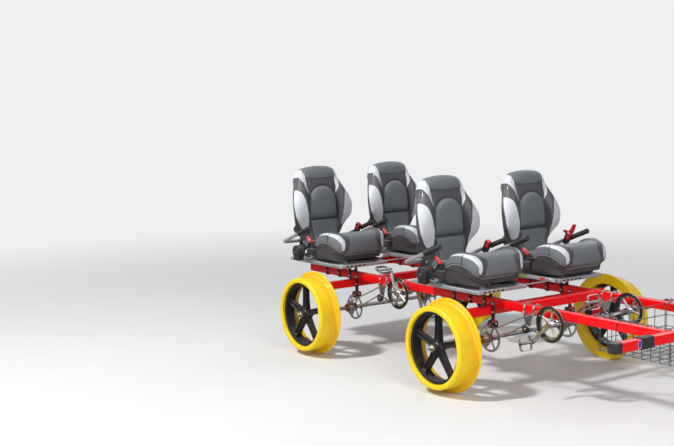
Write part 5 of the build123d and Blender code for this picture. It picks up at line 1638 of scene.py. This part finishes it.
class HANDCAR_OT_frame_tubes(bpy.types.Operator):
    """Painted square tubes with round corners and weld beads, a joint line and a cable tie"""
    bl_idname = "handcar.frame_tubes"
    bl_label = "Frame Tubes"

    def execute(self, context):
        for node in ("side_tube_right", "side_tube_left", "front_bumper_tube", "front_cross_tube",
                     "rear_cross_tube", "tail_cross_tube", "front_axle_carrier", "rear_axle_carrier"):
            form = Form()
            low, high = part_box(node)
            mid = (low + high) / 2
            form.bar(low, high, 0 if "side" in node else 1, 0.0045)
            if "side" in node:
                weld(form, lengthwise(high.x, mid.y, mid.z))
            elif "cross" in node:
                for end in (low.y, high.y):
                    weld(form, across(mid.x, end, mid.z))
            elif "carrier" in node:
                for side in SIDES:
                    weld(form, Matrix.Translation((mid.x, middle(f"side_tube_{side}").y, high.z)))
            dress(node, form, "chassis", "red_paint", [red_paint()])
        bands = Form()
        grow = Vector((0, 0.0002, 0.0002))
        for side in SIDES:
            low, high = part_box(f"side_tube_{side}")
            low.x, high.x = 0.4577, 0.4583
            bands.bar(low - grow, high + grow, 0, 0.0046, 0.0001)
        low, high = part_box("side_tube_right")
        low.x, high.x = 1.2700, 1.2745
        bands.bar(low - grow * 6, high + grow * 6, 0, 0.0052, 0.0003)
        bands.brick((0.0075, 0.0060, 0.0070), (1.2722, low.y - 0.002, high.z - 0.012))
        make("joint_lines_and_tie", bands, "chassis", [black_moulding()], slot="black_plastic")
        return {"FINISHED"}


class HANDCAR_OT_bumper_rubber(bpy.types.Operator):
    """Rubber caps and sleeves of the bumper, and the plugs of the side tubes"""
    bl_idname = "handcar.bumper_rubber"
    bl_label = "Bumper Rubber"

    def execute(self, context):
        for node, depth, corner, edge in (("bumper_end_caps", 0.048, 0.0090, 0.0040),
                                          ("bumper_sleeves", 0.100, 0.0085, 0.0020)):
            form = Form()
            low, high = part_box(node)
            for sign in SIDES.values():
                first, last = sorted((sign * high.y, sign * (high.y - depth)))
                ribbed = depth > 0.05
                inset = 0.0008 if ribbed else 0.0
                form.bar(Vector((low.x + inset, first, low.z + inset)),
                         Vector((high.x - inset, last, high.z - inset)), 1, corner, edge)
                for rib in (-0.030, 0.030) if ribbed else ():
                    at = (first + last) / 2 + rib
                    form.bar(Vector((low.x, at - 0.004, low.z)), Vector((high.x, at + 0.004, high.z)),
                             1, 0.009, 0.0010)
            dress(node, form, "chassis", "black_rubber", [black_rubber()])
        form = Form()
        low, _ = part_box("rear_end_plugs")
        for side in SIDES:
            mid = middle(f"side_tube_{side}")
            half = Vector((0, TUBE / 2, TUBE / 2))
            form.bar(Vector((low.x, *mid.yz)) - half, Vector((low.x + 0.005, *mid.yz)) + half, 0, 0.0050, 0.0015)
        dress("rear_end_plugs", form, "chassis", "black_plastic", [black_moulding()])
        form = Form()
        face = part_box("front_bumper_tube")[1].x
        for number, (width, height, proud) in enumerate(((0.024, 0.042, 0.0006), (0.018, 0.036, 0.0010))):
            form.number = number
            form.plate([rounded(width, height, 0.006)], lengthwise(face, -0.6240, TUBE_MID), proud)
        make("bumper_tape", form, "chassis", [plain_colour("tape_edge", (0.62, 0.50, 0.66), 0.4),
                                              plain_colour("tape_blue", (0.010, 0.008, 0.34), 0.35)])
        return {"FINISHED"}


class HANDCAR_OT_bearing_hangers(bpy.types.Operator):
    """Hangers of the axle bearings"""
    bl_idname = "handcar.bearing_hangers"
    bl_label = "Bearing Hangers"

    def execute(self, context):
        for axle, centre in AXLES.items():
            node = f"{axle}_bearing_hangers"
            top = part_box(node)[1].z - centre.z
            outline = [(0.025, top), (-0.025, top), (-0.025, top - 0.010)]
            outline += [(0.042 * math.cos(a), 0.042 * math.sin(a))
                        for a in (math.radians(172.9 + 194.2 * n / 24) for n in range(25))]
            outline.append((0.025, top - 0.010))
            form = Form()
            for sign in SIDES.values():
                y = sign * 0.615
                form.number = 0
                form.plate([outline, circle(0.0300, 40)], across(centre.x, y - 0.005, centre.z), 0.010, 0.0008)
                form.turned([(-0.018, 0.0250), (-0.018, 0.0335), (-0.0155, 0.036), (0.0155, 0.036), (0.018, 0.0335),
                             (0.018, 0.0250)], (centre.x, y, centre.z), sides=56, loop=True)
                form.number = 1
                form.turned([(-0.0165, 0.0127), (-0.0165, 0.0165), (-0.0150, 0.0175), (-0.0150, 0.0245),
                             (-0.0165, 0.0252), (0.0165, 0.0252), (0.0150, 0.0245), (0.0150, 0.0175),
                             (0.0165, 0.0165), (0.0165, 0.0127)], (centre.x, y, centre.z), sides=40, loop=True)
                for x in (-0.014, 0.014):
                    form.hex_head((centre.x + x, y - sign * 0.005, centre.z + top - 0.016), (0, -sign, 0), 0.010, 0.005)
            dress(node, form, "chassis", "red_paint", [red_paint(), bright_metal()])
        return {"FINISHED"}


RISERS = (-0.319, -0.169, -0.041)     # posts under a tray, from its axle


class HANDCAR_OT_seat_trays(bpy.types.Operator):
    """Folded alloy trays, their black saddles on the side tubes, and strips of tape"""
    bl_idname = "handcar.seat_trays"
    bl_label = "Seat Trays"

    def execute(self, context):
        for axle, centre in AXLES.items():
            node = f"{axle}_seat_trays"
            low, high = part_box(node)
            mid = (low + high) / 2
            form = Form()
            for side in SIDES:
                y = SEATS[axle, side].y
                form.number = 0
                rings = []
                for inset, z in ((0.0022, high.z - 0.0030), (0.0022, low.z), (0, low.z), (0, high.z - 0.0035),
                                 (0.0009, high.z - 0.0012), (0.0034, high.z)):
                    rings.append([(mid.x + u, y + v, z) for u, v in
                                  rounded(high.x - low.x - 2 * inset, 0.410 - 2 * inset, 0.007 - inset)])
                form.skin(rings)
                form.number = 1
                for riser in RISERS:
                    for across_tube in (-0.014, 0.014):
                        form.hex_head((centre.x + riser, y + across_tube, high.z), (0, 0, 1), 0.010, 0.0045)
                form.number = 2
                for slot in range(5):
                    form.plate([rounded(0.022, 0.010, 0.003)],
                               lengthwise(high.x, y - 0.150 + 0.036 * slot, high.z - 0.0115), 0.0005)
            form.number = 0
            for x in (low.x + 0.0125, high.x - 0.0125):
                form.bar(Vector((x - 0.0125, -0.137, high.z - 0.0030)), Vector((x + 0.0125, 0.137, high.z)), 1,
                         0.0010, 0.0004)
            dress(node, form, "chassis", "tray_alloy", [rolled_alloy(), bright_metal(), black_moulding()], smooth=50)
        self.saddles()
        form = Form()
        lip = SEATS["front", "left"].y - 0.205
        for number, x in enumerate((0.060, 0.232, 0.318)):
            form.number = number
            form.plate([rounded(0.046, 0.018, 0.003)], across(x, lip - 0.0008, 0.5965), 0.0008)
        make("tray_tape", form, "chassis", [plain_colour("tape_lime", (0.42, 0.72, 0.02), 0.4),
                                            plain_colour("tape_red", (0.62, 0.02, 0.03), 0.4),
                                            plain_colour("tape_white", (0.78, 0.78, 0.76), 0.4)])
        return {"FINISHED"}

    @staticmethod
    def saddles():
        """U-shaped posts that straddle the side tubes."""
        low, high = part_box("tray_risers")
        form = Form()
        for (axle, _), seat in SEATS.items():
            for riser in RISERS:
                x = AXLES[axle].x + riser - 0.011
                window = high.z - 0.006 - (TUBE_TOP + 0.006)
                form.number = 0
                form.plate([
                    rounded(TUBE + 0.012, high.z - low.z, 0.008, 4, (0, (low.z + high.z) / 2)),
                    rounded(TUBE + 0.0004, TUBE + 0.0004, 0.0045, 4, (0, TUBE_MID)),
                    rounded(TUBE - 0.004, window, 0.006, 4, (0, TUBE_TOP + 0.006 + window / 2)),
                ], lengthwise(x, seat.y, 0), 0.022, 0.0010)
                form.number = 1
                for sign in (-1, 1):
                    form.hex_head((x + 0.011, seat.y + sign * (TUBE / 2 + 0.006), TUBE_MID - 0.004), (0, sign, 0),
                                  0.010, 0.005)
        dress("tray_risers", form, "chassis", "black_plastic", [black_moulding(), bright_metal()])


class HANDCAR_OT_seat_mounts(bpy.types.Operator):
    """Slide rails with their latch bars, and the brackets behind the seats"""
    bl_idname = "handcar.seat_mounts"
    bl_label = "Seat Mounts"

    def execute(self, context):
        self.slides()
        self.brackets()
        return {"FINISHED"}

    @staticmethod
    def slides():
        low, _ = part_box("seat_slides")
        half = ((0.0230, 0.0), (0.0230, 0.0026), (0.0125, 0.0040), (0.0125, 0.0120), (0.0100, 0.0130),
                (0.0100, 0.0150), (0.0130, 0.0158), (0.0130, 0.0248), (0.0118, 0.0260))
        form = Form()
        for (axle, _), seat in SEATS.items():
            first, last = AXLES[axle].x - 0.3403, AXLES[axle].x + 0.078
            for sign in (-1, 1):
                y = seat.y + sign * 0.130
                section = [(y + a, low.z + b) for a, b in half] + [(y - a, low.z + b) for a, b in reversed(half)]
                form.number = 0
                form.skin([[(x, a, b) for a, b in section] for x in (first, last)])
                form.number = 1
                form.loft(aligned((last - 0.010, y, low.z + 0.0205), (1, 0, 0)),
                          [(0, 0.0115, 0.0265, 0.003), (0.010, 0.0115, 0.0265, 0.003), (0.0115, 0.009, 0.024, 0.002)])
                for x in (first + 0.03, last - 0.03):
                    form.number = 2
                    form.hex_head((x, y + 0.0178, low.z + 0.003), (0, 0, 1), 0.008, 0.004, False)
            form.number = 1
            front, height = AXLES[axle].x + 0.090, low.z + 0.0125
            path = filleted([(front - 0.060, seat.y - 0.112, height), (front, seat.y - 0.112, height),
                             (front, seat.y + 0.112, height), (front - 0.060, seat.y + 0.112, height)], 0.014, 6)
            form.rod(path, 0.0048, 12)
        dress("seat_slides", form, "chassis", "bright_steel",
              [bright_metal("slide_steel", (0.34, 0.34, 0.35), 0.30, 0.3), black_moulding(), bright_metal()])

    @staticmethod
    def brackets():
        low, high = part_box("seat_brackets")
        lean = math.tan(BACK_LEAN)
        rear = BACK_X - 0.080 / math.cos(BACK_LEAN) - 0.0004
        form = Form()
        for (axle, side), seat in SEATS.items():
            slide = SEAT_SLIDES[axle, side]
            outline = [(-0.528, low.z), (slide + rear + (BACK_Z - low.z) * lean, low.z),
                       (slide + rear + (BACK_Z - high.z) * lean, high.z), (slide - 0.532, high.z)]
            for sign in (-1, 1):
                y = seat.y + sign * 0.120
                form.number = 0
                form.plate([outline, circle(0.0129, 32, (slide - 0.518, 0.721)),
                            rounded(0.044, 0.058, 0.010, 4, (outline[1][0] - 0.046, low.z + 0.056))],
                           across(AXLES[axle].x, y - 0.003, 0), 0.006, 0.0006)
                foot = AXLES[axle].x + (outline[0][0] + outline[1][0]) / 2
                form.brick((outline[1][0] - outline[0][0] - 0.012, 0.024, 0.004),
                           (foot, y - sign * 0.012, low.z + 0.002))
                form.number = 1
                for x in (-0.026, 0.026):
                    form.hex_head((foot + x, y - sign * 0.013, low.z + 0.004), (0, 0, 1), 0.009, 0.0045)
                bolt = Vector((AXLES[axle].x + slide - 0.470, y, 0))
                for z in (low.z + 0.014, high.z - 0.022):
                    form.hex_head((bolt.x, y + sign * 0.003, z), (0, sign, 0), 0.010, 0.005)
        dress("seat_brackets", form, "chassis", "black_plastic", [black_moulding(), bright_metal()])


BAR_BEND = Vector((-0.518, 0.280, 0.721))
BAR_ARM = 0.381
BAR_RISE = math.radians(21.2)
GRIP_LENGTH = 0.155
LEVER_CLAMP = 0.030


class HANDCAR_OT_handle_bars(bpy.types.Operator):
    """Bent handle bars, their ribbed grips and the brake lever"""
    bl_idname = "handcar.handle_bars"
    bl_label = "Handle Bars"

    def execute(self, context):
        forward = Vector((math.cos(BAR_RISE), 0, math.sin(BAR_RISE)))
        grips = Form()
        for axle in AXLES:
            form = Form()
            for side in SIDES:
                seat = SEATS[axle, side]
                bends = [seat + Vector((BAR_BEND.x, sign * BAR_BEND.y, BAR_BEND.z)) for sign in (-1, 1)]
                tips = [bend + forward * BAR_ARM for bend in bends]
                form.rod(filleted([tips[0], bends[0], bends[1], tips[1]], 0.050, 12), 0.0127, 24)
                for tip in tips:
                    self.grip(grips, tip + forward * 0.004, -forward)
            dress(f"{axle}_handle_bars", form, "chassis", "grey_bar", [satin_tube()], smooth=40)
        dress("hand_grips", grips, "chassis", "black_rubber", [black_rubber()], smooth=40)
        self.lever(forward)
        return {"FINISHED"}

    @staticmethod
    def grip(form, end, back):
        """One grip: a flanged end with a ring, ribs, and a collar."""
        profile = [(0.0008, TIP), (0.0008, 0.0085), (0.0, 0.0095), (0.0, 0.0148), (0.0018, 0.0172),
                   (0.0040, 0.0180), (0.0085, 0.0180), (0.0100, 0.0160)]
        for rib in range(19):
            start = 0.0110 + 0.0070 * rib
            profile += [(start, 0.0154), (start + 0.0012, 0.0168), (start + 0.0050, 0.0168), (start + 0.0062, 0.0154)]
        profile += [(0.1460, 0.0160), (0.1475, 0.0178), (0.1535, 0.0178), (0.1550, 0.0165), (0.1550, 0.0128)]
        form.turned(profile, end, back, 32)

    @staticmethod
    def lever(forward):
        seat = SEATS["front", "left"]
        at = seat + BAR_BEND + forward * (BAR_ARM - GRIP_LENGTH - LEVER_CLAMP)
        form = Form()
        form.turned([(0, 0.0130), (0, 0.0166), (0.0012, 0.0179), (0.0288, 0.0179), (0.030, 0.0166), (0.030, 0.0130)],
                    at, forward, 36, loop=True)
        points = ((-0.004, 0.0150), (0.020, 0.0230), (0.046, 0.0500), (0.063, 0.0880), (0.0655, 0.0985),
                  (0.0560, 0.1035), (0.0460, 0.0930), (0.0300, 0.0680), (0.0080, 0.0540), (-0.0150, 0.0570),
                  (-0.0300, 0.0595), (-0.0335, 0.0500), (-0.0240, 0.0420), (-0.0090, 0.0330))
        outline = through(points + points[:1], (4,) * len(points))[:-1]
        hole = circle(0.0090, 24, (-0.004, 0.0440))
        slot = [(0.0230, 0.0420), (0.0340, 0.0520), (0.0460, 0.0760), (0.0400, 0.0760), (0.0270, 0.0580),
                (0.0160, 0.0470)]
        form.plate([outline, hole, slot], across(at.x, at.y - 0.0110, at.z), 0.022, 0.0016)
        form.number = 1
        form.hex_head((at.x + 0.014, at.y - 0.0195, at.z + 0.004), (0, -1, 0), 0.008, 0.004, False)
        form.solid([(-0.0105, 0.0052), (0.0105, 0.0052)], (at.x + 0.004, at.y, at.z + 0.030), sides=16)
        dress("brake_lever", form, "chassis", "red_plastic",
              [plain_colour("lever_red", (0.66, 0.008, 0.010), 0.28), bright_metal()])


BUCKLES = (  # side of the seat, distance from its middle, foot, buckle's place and slope
    (-1, 0.268, -0.330, -0.214, 0.742, 50.0), (1, 0.250, -0.392, -0.312, 0.798, 62.0),
)


class HANDCAR_OT_belt_units(bpy.types.Operator):
    """Belt reels, buckles and stalks beside the seats"""
    bl_idname = "handcar.belt_units"
    bl_label = "Belt Units"

    def execute(self, context):
        form = Form()
        for seat in SEATS.values():
            for sign, reach, foot, x, z, slope in BUCKLES:
                base = Vector((seat.x + foot, seat.y + sign * reach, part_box("belt_units")[0].z))
                form.number = 1
                inner = seat.y + sign * 0.185
                form.brick((0.064, abs(base.y - inner) + 0.020, 0.004),
                           (base.x, (base.y + inner) / 2 + sign * 0.010, base.z + 0.002))
                form.hex_head((base.x - 0.018, inner + sign * 0.012, base.z + 0.004), (0, 0, 1), 0.010, 0.0045)
                if sign < 0:
                    self.reel(form, base + Vector((0, 0, 0.004)))
                top = Vector((seat.x + x, base.y, z))
                stalk = top - base
                form.number = 0
                form.loft(aligned(base, stalk), [
                    (0.004, 0.030, 0.014, 0.005), (stalk.length * 0.5, 0.025, 0.014, 0.005),
                    (stalk.length - 0.030, 0.024, 0.014, 0.005)])
                slope = math.radians(slope)
                place = aligned(top, (math.cos(slope), 0, math.sin(slope))) @ Matrix.Scale(1.35, 4)
                self.buckle(form, place, sign)
        dress("belt_units", form, "chassis", "black_plastic",
              [black_moulding("buckle_moulding", (0.020, 0.020, 0.023), 0.36), bright_metal(),
               plain_colour("buckle_red", (0.62, 0.010, 0.012), 0.25, 0.5)],
              smooth=40)
        return {"FINISHED"}

    @staticmethod
    def reel(form, base):
        form.number = 0
        form.solid([(-0.026, 0.0400), (-0.0225, 0.0455), (-0.004, 0.0460), (-0.003, 0.0445), (0.003, 0.0445),
                    (0.004, 0.0460), (0.0225, 0.0455), (0.026, 0.0400)], base + Vector((0, 0, 0.060)), sides=48)
        form.loft(aligned(base + Vector((0, 0, 0.022)), (1, 0, 0)),
                  [(-0.034, 0.038, 0.040, 0.005), (-0.031, 0.044, 0.046, 0.006), (0.031, 0.044, 0.046, 0.006),
                   (0.034, 0.038, 0.040, 0.005)])
        for sign in (-1, 1):
            form.solid([(0.0255, 0.0280), (0.0285, 0.0255)], base + Vector((0, 0, 0.060)), (0, sign, 0), 32)
            form.number = 1
            form.hex_head(base + Vector((0, sign * 0.0285, 0.060)), (0, sign, 0), 0.009, 0.003, False)
            form.number = 0

    @staticmethod
    def buckle(form, place, sign):
        form.number = 0
        form.loft(place, [(-0.034, 0.018, 0.012, 0.004), (-0.031, 0.026, 0.017, 0.006), (-0.012, 0.034, 0.020, 0.007),
                          (0.022, 0.036, 0.020, 0.006), (0.027, 0.034, 0.018, 0.006)], 4)
        form.number = 2
        face = 0.046 if sign < 0 else 0.026
        form.loft(place, [(0.0240, face * 0.9, 0.016, 0.005), (0.0275, face, 0.019, 0.006),
                          (0.0320, face * 0.97, 0.018, 0.006), (0.0340, face * 0.86, 0.014, 0.005)], 4)
        if sign < 0:
            form.number = 1
            form.plate([rounded(0.034, 0.030, 0.005, 4, (0.006, 0.000)), circle(0.0050, 20, (-0.002, 0.000))],
                       place @ across(0, -0.0118, 0), 0.0016)
        else:
            form.plate([rounded(0.020, 0.018, 0.005, 4, (0.012, -0.006))], place @ across(0, -0.0112, 0), 0.0014)


class HANDCAR_OT_wire_basket(bpy.types.Operator):
    """Basket of round wire, hung between the side tubes"""
    bl_idname = "handcar.wire_basket"
    bl_label = "Wire Basket"

    def execute(self, context):
        low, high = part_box("wire_basket")
        radius = context.scene.handcar_sizes.wire / 2
        wall, bottom, top = 0.296 - radius, low.z + radius, high.z - radius
        first, last = low.x + radius, high.x - radius
        form = Form()
        for number in range(9):
            x = blend(first, last, number / 8)
            form.rod(filleted([(x, low.y + radius, top), (x, -wall, top), (x, -wall, bottom), (x, wall, bottom),
                               (x, wall, top), (x, high.y - radius, top)], 0.010, 4), radius, 8)
        for number in range(7):
            y = (number / 6 - 0.5) * 2 * wall * 0.96
            form.rod([(first, y, bottom + radius), (last, y, bottom + radius)], radius, 8)
            for x in (first, last):
                form.rod([(x, y, bottom), (x, y, TUBE_TOP)], radius * 0.9, 8)
        for level in range(1, 4):
            z = blend(bottom, TUBE_TOP, level / 3)
            form.rod([(first, -wall, z), (last, -wall, z), (last, wall, z), (first, wall, z)],
                     radius, 8, loop=True)
        dress("wire_basket", form, "chassis", "bright_steel",
              [bright_metal("basket_wire", (0.30, 0.29, 0.30), 0.22, 0.2)], smooth=50)
        return {"FINISHED"}


# Stage


BACKDROP = (0.86, 0.865, 0.87)


class HANDCAR_OT_stage(bpy.types.Operator):
    """Pale floor, soft lights and the camera"""
    bl_idname = "handcar.stage"
    bl_label = "Stage"

    def execute(self, context):
        scene = context.scene
        scene.view_settings.view_transform = "Standard"
        self.floor()
        self.world(scene)
        for name, spot, aim, size, power in (
            ("key", (-1.5, -6.0, 7.0), (0.1, 0.0, 0.5), 0.9, 640.0),
            ("fill", (5.0, -2.0, 3.0), (0.3, 0.0, 0.6), 3.0, 130.0),
            ("rim", (-2.5, 5.0, 4.0), (0.0, 0.0, 0.6), 3.5, 50.0),
        ):
            light = bpy.data.lights.new(name, "AREA")
            light.shape = "DISK"
            light.size = size
            light.energy = power
            lamp = bpy.data.objects.new(name, light)
            lamp.location = spot
            lamp.rotation_euler = (Vector(aim) - Vector(spot)).to_track_quat("-Z", "Y").to_euler()
            scene.collection.objects.link(lamp)
        self.camera(scene)
        return {"FINISHED"}

    @staticmethod
    def floor():
        net = Net("pale_floor")
        grain = net.noise(4.0, 5.0, 0.6)
        base = net.mix(grain, (0.72, 0.72, 0.71), (0.76, 0.76, 0.75))
        material = net.finish(base_color=base, roughness=0.75 + 0.1 * grain)
        output = net.tree.nodes["Material Output"]
        lit = Link(net, output.inputs["Surface"].links[0].from_socket)
        path = net.node("ShaderNodeLightPath")
        dark = net.node("ShaderNodeBsdfDiffuse", None, {"Color": (0.22, 0.22, 0.22, 1.0)}).out(0)
        mirrored = net.node("ShaderNodeMixShader", None, {0: path.out("Is Glossy Ray"), 1: lit, 2: dark}).out(0)
        far = net.node("ShaderNodeVectorMath", {"operation": "LENGTH"}, {0: net.place}).out("Value")
        backdrop = net.node("ShaderNodeEmission", None, {"Color": (*BACKDROP, 1.0)}).out(0)
        fade = far.above(5.8, 5.6) * path.out("Is Camera Ray")
        faded = net.node("ShaderNodeMixShader", None, {0: fade, 1: mirrored, 2: backdrop}).out(0)
        net.tree.links.new(faded.socket, output.inputs["Surface"])
        form = Form()
        form.turned([(0, 0.001), (0, 2.0), (0, 6.0), (0, 40.0)], (0, 0, 0), (0, 0, 1), 64)
        mesh = bpy.data.meshes.new("floor")
        mesh.from_pydata(form.points, [], form.faces[:-2])
        mesh.materials.append(material)
        floor = bpy.data.objects.new("floor", mesh)
        bpy.context.scene.collection.objects.link(floor)

    @staticmethod
    def world(scene):
        net = Net("studio", world=True)
        scene.world = net.material
        way = net.node("ShaderNodeTexCoord").out("Generated")
        height = net.node("ShaderNodeSeparateXYZ", None, {0: way}).out("Z")
        clouds = net.noise(2.2, 3.0, place=way)
        sky = net.mix((height * 1.4 + clouds * 0.5 - 0.15).clamped(), (0.10, 0.11, 0.12), (0.92, 0.95, 1.0))
        lit = net.node("ShaderNodeBackground", None, {"Color": (0.90, 0.95, 1.0, 1.0), "Strength": 0.36})
        mirrored = net.node("ShaderNodeBackground", None, {"Color": sky, "Strength": 0.85})
        seen = net.node("ShaderNodeBackground", None, {"Color": (*BACKDROP, 1.0)})
        path = net.node("ShaderNodeLightPath")
        both = net.node("ShaderNodeMixShader", None,
                        {0: path.out("Is Glossy Ray"), 1: lit.out(0), 2: mirrored.out(0)})
        all_rays = net.node("ShaderNodeMixShader", None,
                            {0: path.out("Is Camera Ray"), 1: both.out(0), 2: seen.out(0)})
        net.node("ShaderNodeOutputWorld", None, {"Surface": all_rays.out(0)})

    @staticmethod
    def camera(scene):
        azimuth, pitch, roll = (math.radians(angle) for angle in (53.88, 6.463, -0.851))
        forward = Vector((-math.sin(azimuth) * math.cos(pitch), math.cos(azimuth) * math.cos(pitch),
                          -math.sin(pitch)))
        right = Vector((math.cos(azimuth), math.sin(azimuth), 0))
        up = right.cross(forward)
        turned_right = right * math.cos(roll) + up * math.sin(roll)
        turned_up = up * math.cos(roll) - right * math.sin(roll)
        lens = bpy.data.cameras.new("camera")
        lens.sensor_fit = "HORIZONTAL"
        lens.sensor_width = 36.0
        lens.lens = 62.94
        camera = bpy.data.objects.new("camera", lens)
        place = Matrix((turned_right, turned_up, -forward)).transposed().to_4x4()
        place.translation = (5.480, -5.315, 1.820)
        camera.matrix_world = place
        scene.collection.objects.link(camera)
        scene.camera = camera


# Panel and registration


class HANDCAR_PT_panel(bpy.types.Panel):
    """Sizes, colours and operators of the handcar"""
    bl_idname = "HANDCAR_PT_panel"
    bl_label = "Handcar"
    bl_space_type = "VIEW_3D"
    bl_region_type = "UI"
    bl_category = "Handcar"

    def draw(self, context):
        layout = self.layout
        for group in (context.scene.handcar_colours, context.scene.handcar_sizes):
            for name in group.__annotations__:
                layout.prop(group, name)
        for operator in OPERATORS:
            layout.operator(operator.bl_idname)


OPERATORS = (
    HANDCAR_OT_tread_rings,
    HANDCAR_OT_spoked_wheels,
    HANDCAR_OT_axle_shafts,
    HANDCAR_OT_seats,
    HANDCAR_OT_chains,
    HANDCAR_OT_cranksets,
    HANDCAR_OT_pedals,
    HANDCAR_OT_drive_hubs,
    HANDCAR_OT_brake_calipers,
    HANDCAR_OT_crank_brackets,
    HANDCAR_OT_frame_tubes,
    HANDCAR_OT_bumper_rubber,
    HANDCAR_OT_bearing_hangers,
    HANDCAR_OT_seat_trays,
    HANDCAR_OT_seat_mounts,
    HANDCAR_OT_handle_bars,
    HANDCAR_OT_belt_units,
    HANDCAR_OT_wire_basket,
    HANDCAR_OT_stage,
)
CLASSES = (HandcarColours, HandcarSizes, *OPERATORS, HANDCAR_PT_panel)


def register():
    for item in CLASSES:
        bpy.utils.register_class(item)
    bpy.types.Scene.handcar_colours = bpy.props.PointerProperty(type=HandcarColours)
    bpy.types.Scene.handcar_sizes = bpy.props.PointerProperty(type=HandcarSizes)


def unregister():
    del bpy.types.Scene.handcar_sizes
    del bpy.types.Scene.handcar_colours
    for item in reversed(CLASSES):
        bpy.utils.unregister_class(item)


def main():
    register()
    for operator in OPERATORS:
        group, name = operator.bl_idname.split(".")
        getattr(getattr(bpy.ops, group), name)()


if __name__ == "__main__":
    main()
